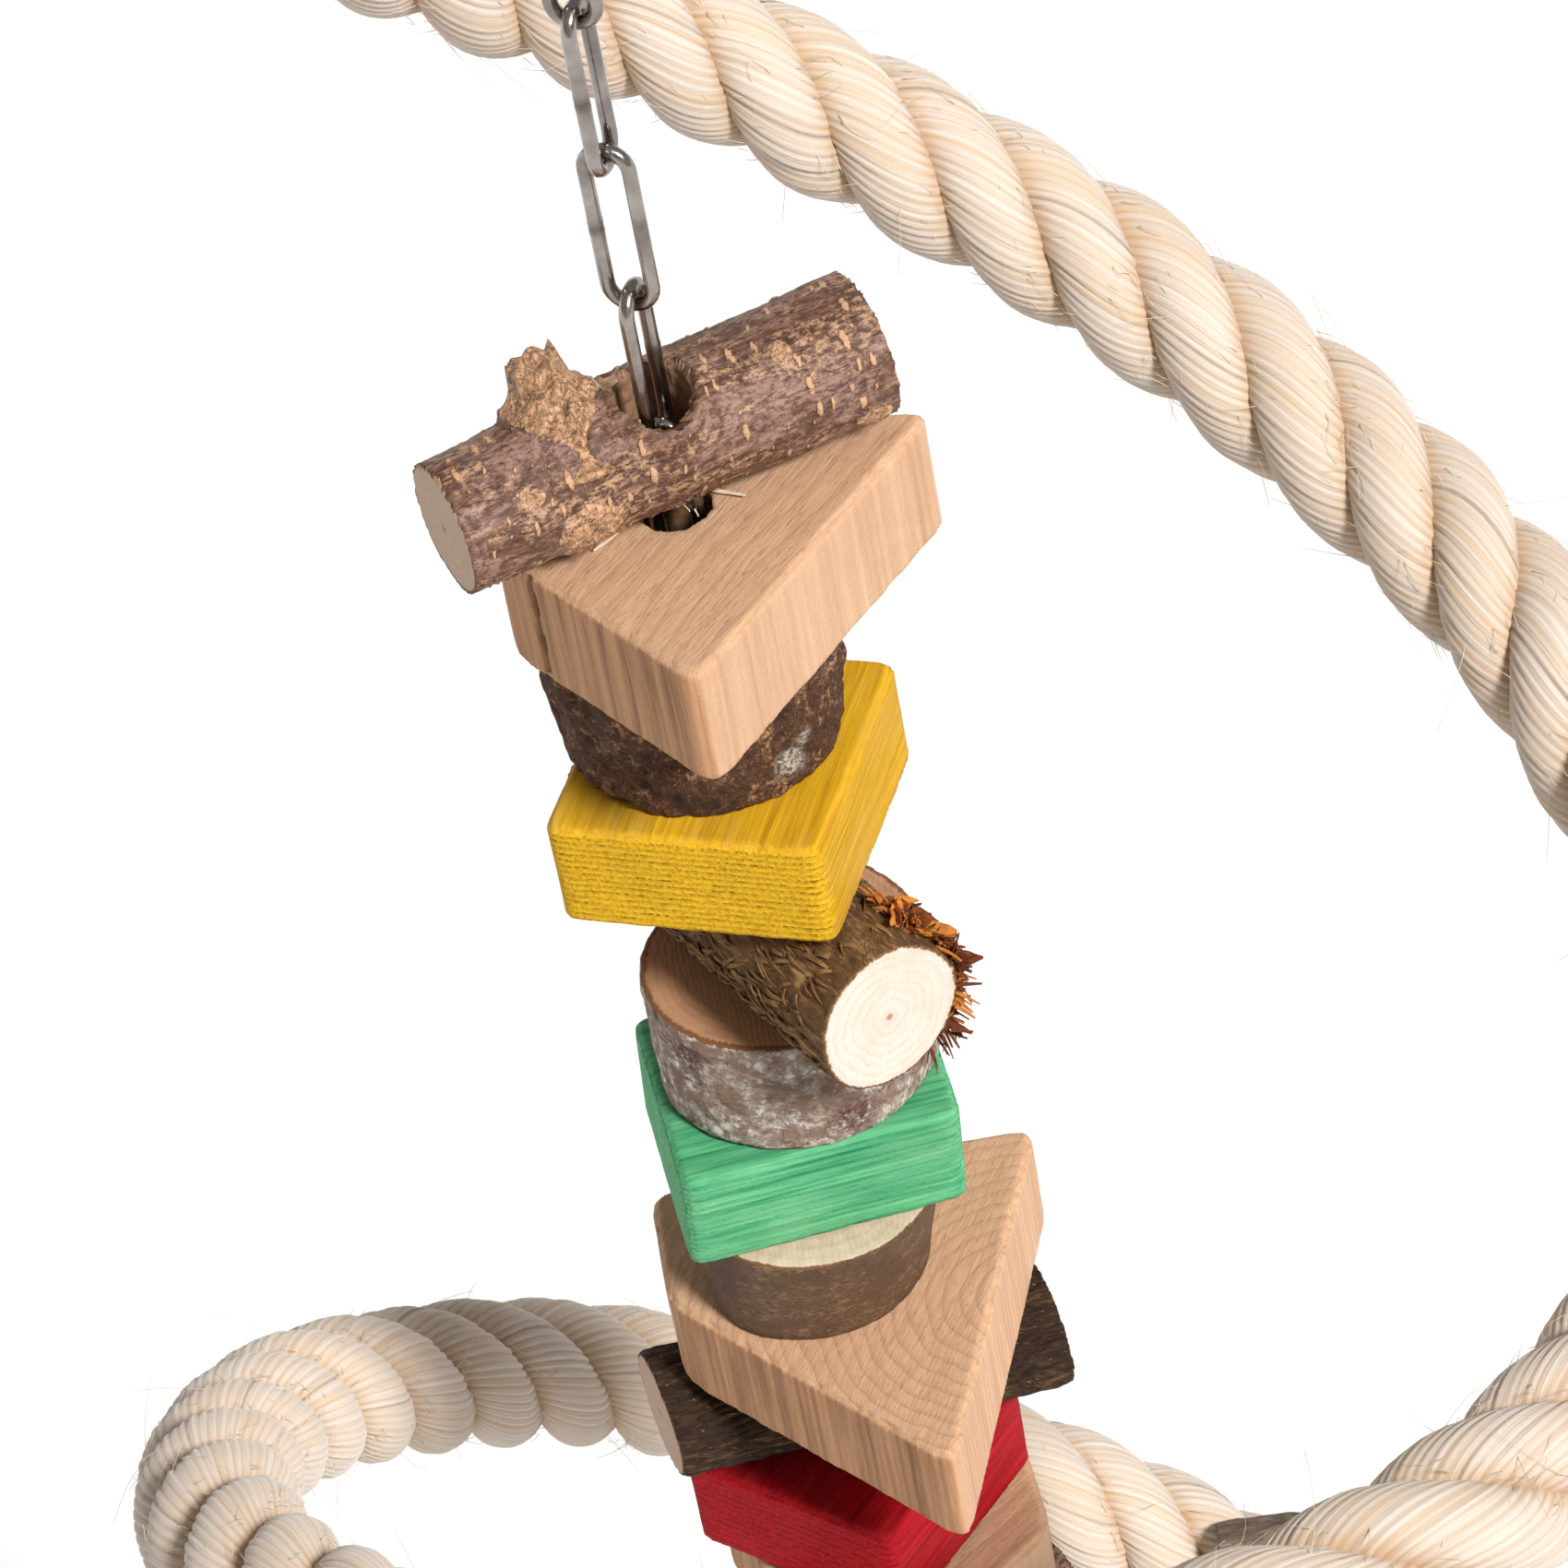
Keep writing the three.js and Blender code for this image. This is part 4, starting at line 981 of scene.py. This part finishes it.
def turned_from(angle, degrees):
    """How far each angle is from one in degrees, the short way round, in radians."""
    return (angle - math.radians(degrees) + math.pi) % FULL_TURN - math.pi


def by_the_bore(points):
    return np.hypot(points[:, 0], points[:, 1]) < BORE_REACH


def sawn_or_drilled(mesh, across_cut, in_bore):
    """1 for each face that shows cut wood, 0 for bark."""
    drilled = face_middles(mesh, in_bore.astype(float)) > 0.6
    return np.where(across_cut | drilled, 1, 0)


def wooden_piece(name, mesh, points, materials, face_material, notes, body, slot, node):
    """Puts the moved points back, gives each face its material and hands the piece to the frame.
    A piece keeps to its own level, so that it turns freely between its neighbours."""
    low, high = level_of(node)
    points[:, 2] = np.clip(points[:, 2], low - LEVEL_ROOM, high + LEVEL_ROOM)
    mesh.vertices.foreach_set("co", (points * MM).ravel())
    mesh.update()
    mesh.shade_smooth()
    for material in materials:
        mesh.materials.append(material)
    mesh.polygons.foreach_set("material_index", face_material.astype(np.int32))
    piece = bpy.data.objects.new(name, mesh)
    bpy.context.scene.collection.objects.link(piece)
    for label, values in notes.items():
        note(piece, label, values)
    return stands_for(piece, body, slot, node)


def face_middles(mesh, values):
    """The mean of a per-point value on each face."""
    starts = np.empty(len(mesh.polygons), dtype=np.int32)
    counts = np.empty(len(mesh.polygons), dtype=np.int32)
    mesh.polygons.foreach_get("loop_start", starts)
    mesh.polygons.foreach_get("loop_total", counts)
    corners = np.empty(len(mesh.loops), dtype=np.int32)
    mesh.loops.foreach_get("vertex_index", corners)
    return np.add.reduceat(values[corners], starts) / counts


def face_directions(mesh):
    flat = np.empty(len(mesh.polygons) * 3)
    mesh.polygons.foreach_get("normal", flat)
    return flat.reshape(-1, 3)


def swell(seed, angle, along):
    """The slow unevenness of a grown branch, as the CAD solid has it."""
    low = np.sin(2 * angle + 1.7 * seed) * 0.5 + np.sin(3 * angle + 2.9 * seed + along) * 0.3
    return low + np.sin(5 * angle - seed + 1.9 * along) * 0.2


def pore_spots(place, radius, spacing, seed):
    """Small raised pores, longer round the branch than along it: 1 in their middles."""
    angle = np.arctan2(place[:, 2], place[:, 1])
    round_it = angle * radius / (spacing * 1.25)
    flat = np.stack([place[:, 0] / spacing, round_it, np.full(len(place), seed)], axis=1)
    best = np.full(len(place), 9.0)
    cell = np.floor(flat)
    for dx, dy in np.ndindex(3, 3):
        near = cell + (dx - 1, dy - 1, 0)
        middle_x = near[:, 0] + 0.15 + 0.7 * lattice(near, seed + 1)
        middle_y = near[:, 1] + 0.15 + 0.7 * lattice(near, seed + 2)
        size = 0.09 + 0.22 * lattice(near, seed + 3) ** 2
        shown = lattice(near, seed + 4) > 0.3
        away = np.hypot((flat[:, 0] - middle_x) * 2.0, (flat[:, 1] - middle_y) * 0.75) / size
        best = np.where(shown, np.minimum(best, away), best)
    return ease(-best, -1.25, -0.6)


def bark_relief(style, place, radius, seed):
    """How far the bark stands out at each place, in millimetres, and its pores."""
    pores = np.zeros(len(place))
    if style == "hazel":
        height = 0.28 * rough(place / (9, 3.5, 3.5), seed) + 0.14 * rough(place / (2.5, 1.1, 1.1), seed + 1)
        pores = pore_spots(place, radius, 3.3, seed)
        height += 0.25 * pores + 0.12 * rough(place / 0.8, seed + 2)
    elif style == "ridged":
        warp = 2.0 * rough(place / (8, 4, 4), seed + 5)
        angle = np.arctan2(place[:, 2], place[:, 1]) * radius
        ridge = np.abs(np.sin((angle + warp) * 1.9 + 0.25 * place[:, 0] * rough(place / 9, seed + 6)))
        height = 0.7 * ridge - 0.4 + 0.25 * rough(place / (2.2, 1.0, 1.0), seed)
    elif style == "flaky":
        height = 0.45 * rough(place / (7, 2.0, 2.0), seed) + 0.3 * rough(place / (2.2, 0.9, 0.9), seed + 1)
    elif style == "cracked":
        height = 0.5 * rough(place / (3.0, 3.0, 4.0), seed) + 0.5 * rough(place / (1.2, 1.2, 1.7), seed + 1)
    elif style == "birch":
        height = 0.22 * rough(place / (5, 5, 3), seed) + 0.12 * rough(place / (1.3, 1.3, 0.8), seed + 1)
    else:
        height = 0.18 * rough(place / (5, 5, 9), seed) + 0.06 * rough(place / (1.2, 1.2, 3.0), seed + 1)
    return height, pores


def outward_share(new_reach, reach):
    """How many times as far from the middle each point comes to lie."""
    return np.where(reach > 1e-6, new_reach / np.maximum(reach, 1e-6), 1)


def mark_skin(place, angle, diameter, seed, height, stub, cork, bare, swellings):
    """Adds swellings, cork and stripped places to a bark's height. Gives it and masks of the last two."""
    corky = np.where(stub, 1.0, 0.0)
    stripped = np.zeros(len(place))

    def away_from(run, degrees, size):
        return np.hypot(place[:, 0] - run, turned_from(angle, degrees) * diameter / 2) / size

    def spot(run, degrees, size):
        ragged = away_from(run, degrees, size) + 0.35 * rough(place / 1.6, seed + 9)
        return ease(-ragged, -1.25, -0.75)

    for run, degrees, size, lift in swellings:
        height = height + lift * np.exp(-away_from(run, degrees, size) ** 2)
    for run, degrees, size, lift in cork:
        here = spot(run, degrees, size)
        corky = np.maximum(corky, here)
        height = height * (1 - 0.5 * here) + here * (lift + 0.5 * rough(place / 1.3, seed + 11))
    for run, degrees, size, depth in bare:
        here = spot(run, degrees, size)
        stripped = np.maximum(stripped, here * ~stub)
        height = height * (1 - here) - here * (depth + 0.35 * rough(place / (4, 0.9, 0.9), seed + 12))
    return height, corky, stripped


def dress_branch(name, node, body, slot, middle, heading, diameter, length, seed, style, finish, end_finish,
                 left_diameter=None, end_skew=0.0, cork=(), bare=(), swellings=(), voxel=0.42, bored=True):
    """A barked branch lying level. Cork, bare and swellings are spots on its skin: how far along, how far
    round in degrees (0 is beside it, 90 on top), size, and how far they stand out or lie in."""
    mesh = dense(node, voxel)
    points, normals = points_of(mesh)
    along, across = level_axes(heading)
    off = points - middle
    askew = math.tan(math.radians(end_skew))
    run_along = off @ along - askew * (off @ across)
    share = run_along / length + 0.5
    thickness = (left_diameter or diameter) * (1 - share) + diameter * share
    drop = (diameter - thickness) / 2
    place = np.stack([run_along, off @ across, off[:, 2] + drop], axis=1)
    reach = np.hypot(place[:, 1], place[:, 2])
    angle = np.arctan2(place[:, 2], place[:, 1])
    target = thickness / 2 * (1 - BRANCH_SWELL + BRANCH_SWELL * swell(seed, angle, share * SWELLS_ALONG))
    height, pores = bark_relief(style, place, diameter / 2, seed)
    in_bore = by_the_bore(points) & bored
    at_end = np.abs(place[:, 0]) > length / 2 - 0.45
    on_face = np.abs(normals @ along) > 0.85
    skin = (reach > 0.9 * target) & (reach < STUB_SHARE * target) & ~in_bore & ~on_face
    stub = (reach >= STUB_SHARE * target) & ~in_bore
    height, corky, stripped = mark_skin(place, angle, diameter, seed, height, stub, cork, bare, swellings)
    rim = ease(np.abs(place[:, 0]), length / 2 - 1.0, length / 2 - 0.1)
    height = height * (1 - 0.9 * rim) - 0.1 * rim * np.abs(rough(place / 1.5, seed + 7))
    new_reach = np.where(skin, target + height, reach)
    crumble = 1.3 * rough(place / 2.6, seed + 3) + 0.7 * rough(place / 1.1, seed + 2)
    new_reach = np.where(stub, reach + crumble, new_reach)
    ratio = outward_share(new_reach, reach)
    moved = place.copy()
    moved[:, 1:] *= ratio[:, None]
    if stub.any():
        knot_run = place[stub, 0].mean()
        narrow = 0.24 * ease(reach, 1.08 * target, 1.35 * target) * ~in_bore
        moved[:, 0] += narrow * (knot_run - place[:, 0])
    saw = 0.06 * rough(place / (1, 0.9, 7), seed + 8)
    moved[:, 0] += np.where(at_end & ~skin, saw, 0)
    torn = np.where(in_bore, 0.35 * rough(points / 0.9, seed + 4), 0)
    moved[:, 0] += askew * moved[:, 1]
    moved[:, 2] -= drop
    points = middle + moved[:, :1] * along + moved[:, 1:2] * across + moved[:, 2:] * np.array([0, 0, 1])
    points[:, :2] *= (1 + torn / BORE_RADIUS)[:, None]
    sawn = (np.abs(face_directions(mesh) @ along) > 0.7) & (face_middles(mesh, at_end.astype(float)) > 0.4)
    kinds = sawn_or_drilled(mesh, sawn, in_bore)
    # the hollow note is painted shade where the bark's relief lies low
    notes = {"place": place, "hollow_shade": np.clip(-height * 1.6, 0, 1) * skin, "cork": corky, "pores": pores,
             "bare": stripped, "rim_room": target - reach, "bore": in_bore.astype(float)}
    return wooden_piece(name, mesh, points, [finish, end_finish], kinds, notes, body, slot, node)


def dress_slice(name, node, slot, middle, across, seed, style, finish, face_finish,
                top_across=None, lean=0.0, lichen=(), stains=(), voxel=0.5):
    """A disc sawn off a branch: bark round it, rings on both faces. It may widen to its top and lean.
    Lichen spots and stains are given by heading in degrees, height over the foot, and size."""
    mesh = dense(node, voxel)
    points, normals = points_of(mesh)
    low, high = level_of(node)
    share = (points[:, 2] - low) / (high - low)
    across = across * (1 - share) + (top_across or across) * share
    place = points - (*middle, (low + high) / 2)
    place[:, 0] -= lean * (share - 0.5)
    reach = np.hypot(place[:, 0], place[:, 1])
    angle = np.arctan2(place[:, 1], place[:, 0])
    target = across / 2 * (1 + SLICE_SWELL * swell(seed, angle, 0))
    height, pores = bark_relief(style, place, across / 2, seed)
    in_bore = by_the_bore(points)
    edge = ease(np.abs(place[:, 2]), (high - low) / 2 - 1.4, (high - low) / 2 - 0.1)
    height = height * (1 - 0.3 * edge) - 0.3 * edge * np.abs(rough(place / 1.4, seed + 7))
    skin = (reach > target - 1.2) & ~in_bore
    new_reach = np.where(skin, reach + (target - reach) * (1 - edge * 0.6) + height, reach)
    ratio = outward_share(new_reach, reach)
    moved = points.copy()
    moved[:, :2] += place[:, :2] * (ratio - 1)[:, None]
    flat = (np.abs(normals[:, 2]) > 0.7) & ~in_bore
    saw = -0.05 * (1 + rough(place / (6, 0.8, 1), seed + 8)) * np.sign(normals[:, 2])
    moved[:, 2] += np.where(flat, saw, 0)
    kinds = sawn_or_drilled(mesh, np.abs(face_directions(mesh)[:, 2]) > 0.7, in_bore)

    def patches(spots):
        covered = np.zeros(len(points))
        for degrees, level, size in spots:
            away = np.hypot(turned_from(angle, degrees) * across / 2, points[:, 2] - low - level)
            covered = np.maximum(covered, ease(-away, -size, -0.4 * size))
        return covered

    # the hollow note is painted shade where the bark's relief lies low
    notes = {"place": place[:, [2, 0, 1]], "hollow_shade": np.clip(-height * 1.4, 0, 1) * skin,
             "lichen": patches(lichen), "stain": patches(stains), "pores": pores,
             "rim_room": target - reach, "bore": in_bore.astype(float)}
    return wooden_piece(name, mesh, moved, [finish, face_finish], kinds, notes, node, slot, node)


def edge_room(points, outline):
    """Distance in from the nearest side of a convex outline."""
    room = np.full(len(points), 99.0)
    for (x0, y0), (x1, y1) in zip(outline, outline[1:] + outline[:1]):
        length = math.hypot(x1 - x0, y1 - y0)
        inward = np.array([-(y1 - y0), x1 - x0]) / length
        room = np.minimum(room, (points[:, :2] - (x0, y0)) @ inward)
    return room


def dress_board(name, node, slot, outline, grain, seed, finish, chips=1.0, cracks=(), voxel=0.5):
    """A sawn flat piece: slightly waved faces, chipped edges, and cracks that open on a side, with painted
    shade in the cracks and in the bore.
    A crack is its x, y, width and depth. Grain is the direction of the wood in degrees."""
    mesh = dense(node, voxel)
    points, normals = points_of(mesh)
    low, high = level_of(node)
    room = edge_room(points, outline)
    lid_room = np.minimum(points[:, 2] - low, high - points[:, 2])
    in_bore = by_the_bore(points)
    along, across = level_axes(grain)
    middle = (low + high) / 2
    place = np.stack([points @ along, points @ across, points[:, 2] - middle], axis=1)
    closeness = ease(-np.maximum(room, lid_room), -1.2, -0.1) * ~in_bore
    side = ease(np.abs(normals[:, 2]), 0.75, 0.45)
    end = ease(np.abs(normals @ along), 0.55, 0.85)
    wave = 0.06 * rough(points / 9, seed) + 0.03 * rough(points / 2.2, seed + 1)
    ragged = np.maximum(0, rough(points / (1.4, 1.4, 1.4), seed + 2) + 0.1)
    push = wave - chips * 0.5 * closeness * ragged
    lower = ease(-points[:, 2], -low - 3.0, -low - 0.5) * closeness
    push -= chips * 0.6 * lower * np.maximum(0, rough(points / (2.6, 2.6, 9), seed + 4))
    push = np.where(in_bore, 0.25 * rough(points / 1.0, seed + 5), push)
    flat = np.abs(normals[:, 2]) > 0.8
    push = np.where(flat & ~in_bore, np.minimum(push * 0.35, 0.05), push)
    # painted shade: darker the deeper a point lies in the bore
    hollow_shade = 0.75 * ease(lid_room, 0.3, 2.0) * in_bore
    for x, y, width, depth in cracks:
        away = np.hypot(points[:, 0] - x, points[:, 1] - y) + 0.5 * rough(points / 3, seed + 6)
        gap = ease(-away, -width, -width * 0.4) * side
        push -= depth * gap
        # painted shade in the crack, as well as the crack cut into the surface
        hollow_shade = np.maximum(hollow_shade, gap)
    moved = points + normals * push[:, None]
    notes = {"place": place, "side_face": side, "end_face": end, "hollow_shade": hollow_shade,
             "worn": np.clip(closeness * (0.4 + ragged), 0, 1)}
    kinds = np.zeros(len(mesh.polygons))
    return wooden_piece(name, mesh, moved, [finish], kinds, notes, node, slot, node)


def corner(reach, degrees):
    turn = math.radians(degrees)
    return (reach * math.cos(turn), reach * math.sin(turn))


def oblong(width, depth, yaw, middle):
    half_x = width / 2
    half_y = depth / 2
    turn = math.radians(yaw)
    made = []
    for x, y in ((-half_x, -half_y), (half_x, -half_y), (half_x, half_y), (-half_x, half_y)):
        made.append((middle[0] + x * math.cos(turn) - y * math.sin(turn),
                     middle[1] + x * math.sin(turn) + y * math.cos(turn)))
    return made


def thread_wood():
    """All fourteen pieces on the chain, from the top."""
    log_1_level = level_of("log_1")[0] + 10.3
    dress_branch("hazel_log", "log_1", "log_1", "hazel_bark", middle=np.array([-0.6, 1.9, log_1_level]),
                 heading=18.6, diameter=20.8, length=61, seed=1, style="hazel", finish=hazel_finish,
                 end_finish=grey_end_finish, left_diameter=18.9,
                 cork=[(-14, 196, 4.6, 0.9), (-21, 146, 1.6, 0.3), (17, 122, 1.8, 0.2), (27, 205, 2.4, 0.4)],
                 bare=[(-5, 68, 3.4, 0.8)], swellings=[(0, 130, 5.5, 3.4), (-12, 104, 9.0, 1.2)])
    wedge_1 = [corner(35.3, -93.3), corner(37, 14.4), corner(27.7, 132.5), corner(24.9, 181.6)]
    dress_board("upper_wedge", "wedge_1", "raw_wood", outline=wedge_1, grain=49.6, seed=21,
                finish=board_finish, cracks=[(-20.4, -7.4, 0.62, 1.4)])
    dress_slice("dark_slice", "slice_1", "dark_bark", middle=(-1.6, 3.4), across=37.4, seed=2,
                style="cracked", finish=slice_bark_finish, face_finish=tan_slice_finish, top_across=41.2,
                lichen=[(-60, 5.0, 3.2), (-52, 8.0, 1.8)])
    dress_board("yellow_block", "block_yellow", "yellow_dye",
                outline=oblong(38.6, 38.6, -24.2, (-0.4, -0.6)), grain=65.8, seed=22,
                finish=yellow_finish)
    dress_branch("brown_log", "log_2", "log_2", "dark_bark",
                 middle=np.array([0, 0, branch_level("log_2")]), heading=BROWN_LOG_HEADING, diameter=22.9,
                 length=64, seed=3, style="flaky", finish=log_bark_finish, end_finish=log_end_finish)
    dress_slice("birch_slice", "slice_2", "birch_bark", middle=(2.1, 1.2), across=39.4, seed=4,
                style="birch", finish=birch_finish, face_finish=tan_slice_finish,
                stains=[(-74, 4.5, 5.0), (-140, 15, 4.0), (40, 9, 6.0)])
    dress_board("green_block", "block_green", "green_dye", outline=oblong(39.9, 35.3, 4.2, (0.3, -0.9)),
                grain=4.2, seed=23, finish=green_finish)
    dress_slice("smooth_slice", "slice_3", "grey_bark", middle=(-0.8, -6.6), across=31.4, seed=5,
                style="smooth", finish=grey_bark_finish, face_finish=pale_slice_finish, top_across=35,
                lean=2.0)
    wedge_2 = [corner(51, -77.3), corner(35.1, 20.1), corner(27.5, 148.3), corner(24.9, 199.1)]
    dress_board("middle_wedge", "wedge_2", "raw_wood", outline=wedge_2, grain=60, seed=24,
                finish=figured_board_finish, chips=2.0)
    dress_branch("ridged_log", "log_3", "log_3", "dark_bark",
                 middle=np.array([0.7, -1.8, branch_level("log_3")]), heading=2.6, diameter=19.6,
                 length=58, seed=6, style="ridged", finish=ridged_bark_finish, end_finish=grey_end_finish,
                 end_skew=-9)
    dress_board("red_block", "block_red", "red_dye", outline=oblong(36.7, 35.4, -41.2, (-1.5, -2.1)),
                grain=48.8, seed=25, finish=red_finish)
    wedge_3 = [corner(41.9, -103.8), corner(28.4, -32.1), corner(27.4, 36.5), corner(25.7, 158.8)]
    dress_board("lower_wedge", "wedge_3", "raw_wood", outline=wedge_3, grain=40, seed=26,
                finish=board_finish)
    dress_slice("last_slice", "slice_4", "grey_bark", middle=(0, 0), across=38, seed=7, style="smooth",
                finish=grey_bark_finish, face_finish=pale_slice_finish)
    dress_branch("last_log", "log_4", "log_4", "hazel_bark",
                 middle=np.array([0, 0, branch_level("log_4")]), heading=48, diameter=20, length=62,
                 seed=8, style="hazel", finish=hazel_finish, end_finish=grey_end_finish,
                 cork=[(14, 60, 4.0, 0.6)])


thread_wood()


# Torn bark and splinters

def strip(path, width, thickness):
    """Points and faces of a flat strip that tapers to its tip."""
    path = np.asarray(path)
    along, beside, across = frames_along(path)
    taper = np.linspace(1, 0.4, len(path))[:, None]
    points = []
    for wide, thick in ((-1, -1), (1, -1), (1, 1), (-1, 1)):
        points.append(path + taper * (wide * width / 2 * beside + thick * thickness / 2 * across))
    return np.stack(points, axis=1).reshape(-1, 3), ring_faces(len(path), 4, False)


def flake(path, width, thickness, seed):
    """A crumbling lump of bark along a short path, flat and ragged."""
    path = np.asarray(path)
    along, beside, across = frames_along(path)
    angle = np.arange(10) * FULL_TURN / 10
    taper = np.sin(np.linspace(0.25, 2.9, len(path)))[:, None, None]
    ring = np.cos(angle)[None, :, None] * width / 2 * beside[:, None]
    ring = ring + np.sin(angle)[None, :, None] * thickness / 2 * across[:, None]
    points = (path[:, None] + taper * ring).reshape(-1, 3)
    for i in range(3):
        points[:, i] += 0.32 * rough(points / 0.9, seed + i)
    return points, ring_faces(len(path), 10, False)


def fray_bark():
    """The brown log's loose bark: fibres that lie along it, and tufts torn up by the saw beside its end."""
    chance = np.random.default_rng(17)
    along, across = level_axes(BROWN_LOG_HEADING)
    middle = np.array([0, 0, branch_level("log_2")])
    steps = np.linspace(0, 1, 7)[:, None]
    bark_radius = 11.4
    root_radius = 11.05

    def peel(run, angle, length, lean, lift):
        """A path from a place on the bark; lean turns it round the log, lift raises its tip."""
        angles = math.radians(angle) + steps * math.sin(lean) * length / bark_radius
        out = np.cos(angles) * across + np.sin(angles) * np.array([0, 0, 1])
        reach = root_radius + 0.35 * np.sin(math.pi * steps) + lift * steps ** 1.5 * length
        return middle + along * (run + steps * math.cos(lean) * length) + out * reach

    fibres = []
    for _ in range(1000):
        run, angle, length = chance.uniform(-31, 27), chance.uniform(0, 360), chance.uniform(2.0, 5.0)
        path = peel(run, angle, length, chance.normal(0, 0.4), 0.0)
        fibres.append(strip(path, chance.uniform(0.45, 1.05), 0.25))
    torn = {"torn_bark": [], "torn_bast": []}
    for tuft in range(60):
        run, angle = chance.choice([(chance.uniform(20, 28), chance.normal(36, 9)),
                                    (chance.uniform(24, 30), chance.normal(4, 9)),
                                    (chance.uniform(26, 31), chance.normal(-34, 16))])
        lean = chance.uniform(-1.2, 1.2)
        kind = "torn_bark" if tuft % 5 < 3 else "torn_bast"
        lump = peel(run - 1.5, angle, chance.uniform(3.0, 6.0), lean, chance.uniform(0.2, 0.75))
        torn[kind].append(flake(lump, chance.uniform(1.4, 3.2), chance.uniform(0.8, 1.5), tuft))
        for _ in range(8):
            path = peel(run + chance.normal(0, 1.0), angle + chance.normal(0, 5), chance.uniform(1.5, 4.6),
                        lean + chance.normal(0, 0.5), chance.uniform(0.2, 0.8))
            torn[kind].append(strip(path, chance.uniform(0.3, 1.0), 0.25))
    for name, shapes, finish in (("bark_fibres", fibres, fibre_bark_finish),
                                 ("torn_bark", torn["torn_bark"], torn_bark_finish),
                                 ("torn_bast", torn["torn_bast"], bast_finish)):
        stands_for(mesh_piece(name, *joined(*shapes), finish, smooth=False), "log_2", "dark_bark")


def lift_splinters():
    """Splinters that hang from the drilled underside of the top log."""
    level = level_of("wedge_1")[1] + 0.4
    routes = [[(4.2, 1.6, 0.2), (6.4, 0.2, 0.1), (9.2, -1.7, 0.3)],
              [(-11.6, -6.0, 0.1), (-9.4, -4.9, 0.2), (-7.0, -3.4, 0.5)],
              [(2.0, 0.4, 0.6), (2.2, -1.6, 0.1), (2.7, -3.3, -0.2)],
              [(1.4, 0.6, 0.5), (1.2, -1.2, 0.0), (1.7, -2.4, 0.2)]]
    shapes = [strip(np.array(route) + (0, 0, level), 0.75, 0.3) for route in routes]
    stands_for(mesh_piece("splinters", *joined(*shapes), splinter_finish, smooth=False), "log_1",
               "hazel_bark")


fray_bark()
lift_splinters()


# Perch

def fit_perch():
    """The barked perch in its saddle on the rope, and the steel that stays as the solids have it."""
    low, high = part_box("perch_branch")
    middle = np.array((low + high) / 2) / MM
    dress_branch("perch", "perch_branch", "spiral", "grey_bark", middle=middle, heading=-5, diameter=15,
                 length=78, seed=9, style="flaky", finish=perch_bark_finish, end_finish=grey_end_finish,
                 bored=False)
    for node, finish in (("core_wire", core_finish), ("perch_screw", hardware_finish),
                         ("perch_washer", hardware_finish)):
        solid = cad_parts[node].data
        solid.materials.clear()
        solid.materials.append(finish)


fit_perch()


# Stage

def set_stage():
    """Round white floor under the hanging toy, bent up at its far rim, and soft light from the front."""
    tree, _, done = finish_named("pale floor", 0.9, 0.1)
    place = add(tree, "ShaderNodeTexCoord").outputs["Object"]
    tone = use(weathering, Place=place, Size=0.6).outputs["Tone"]
    floor_finish = done(blend(tone, (0.80, 0.80, 0.80, 1), (0.83, 0.83, 0.83, 1)))
    level, flat_reach, bend = -1250.0, 9000.0, 4000.0
    profile = [(2000.0, level), (flat_reach, level)]
    for angle in np.radians(np.linspace(6, 80, 14)):
        profile.append((flat_reach + bend * math.sin(angle), level + bend * (1 - math.cos(angle))))
    sides = 72
    points = turned(profile, sides)[0]
    open_at_rim = ring_faces(len(profile), sides, False)[:-1]
    floor = mesh_piece("floor", points, open_at_rim, floor_finish)
    world = bpy.data.worlds.new("studio")
    bpy.context.scene.world = world
    world.use_nodes = True
    background = world.node_tree.nodes["Background"]
    background.inputs["Color"].default_value = (1.0, 1.0, 1.0, 1)
    background.inputs["Strength"].default_value = 0.3
    towards_light = Vector((0.41, -0.62, 0.669))
    data = bpy.data.lights.new("soft_key", "SUN")
    data.energy = 4.5
    data.angle = math.radians(12)
    key = bpy.data.objects.new("soft_key", data)
    key.rotation_mode = "QUATERNION"
    key.rotation_quaternion = (-towards_light).to_track_quat("-Z", "Y")
    bpy.context.scene.collection.objects.link(key)
    bpy.context.scene.view_settings.view_transform = "Standard"


set_stage()
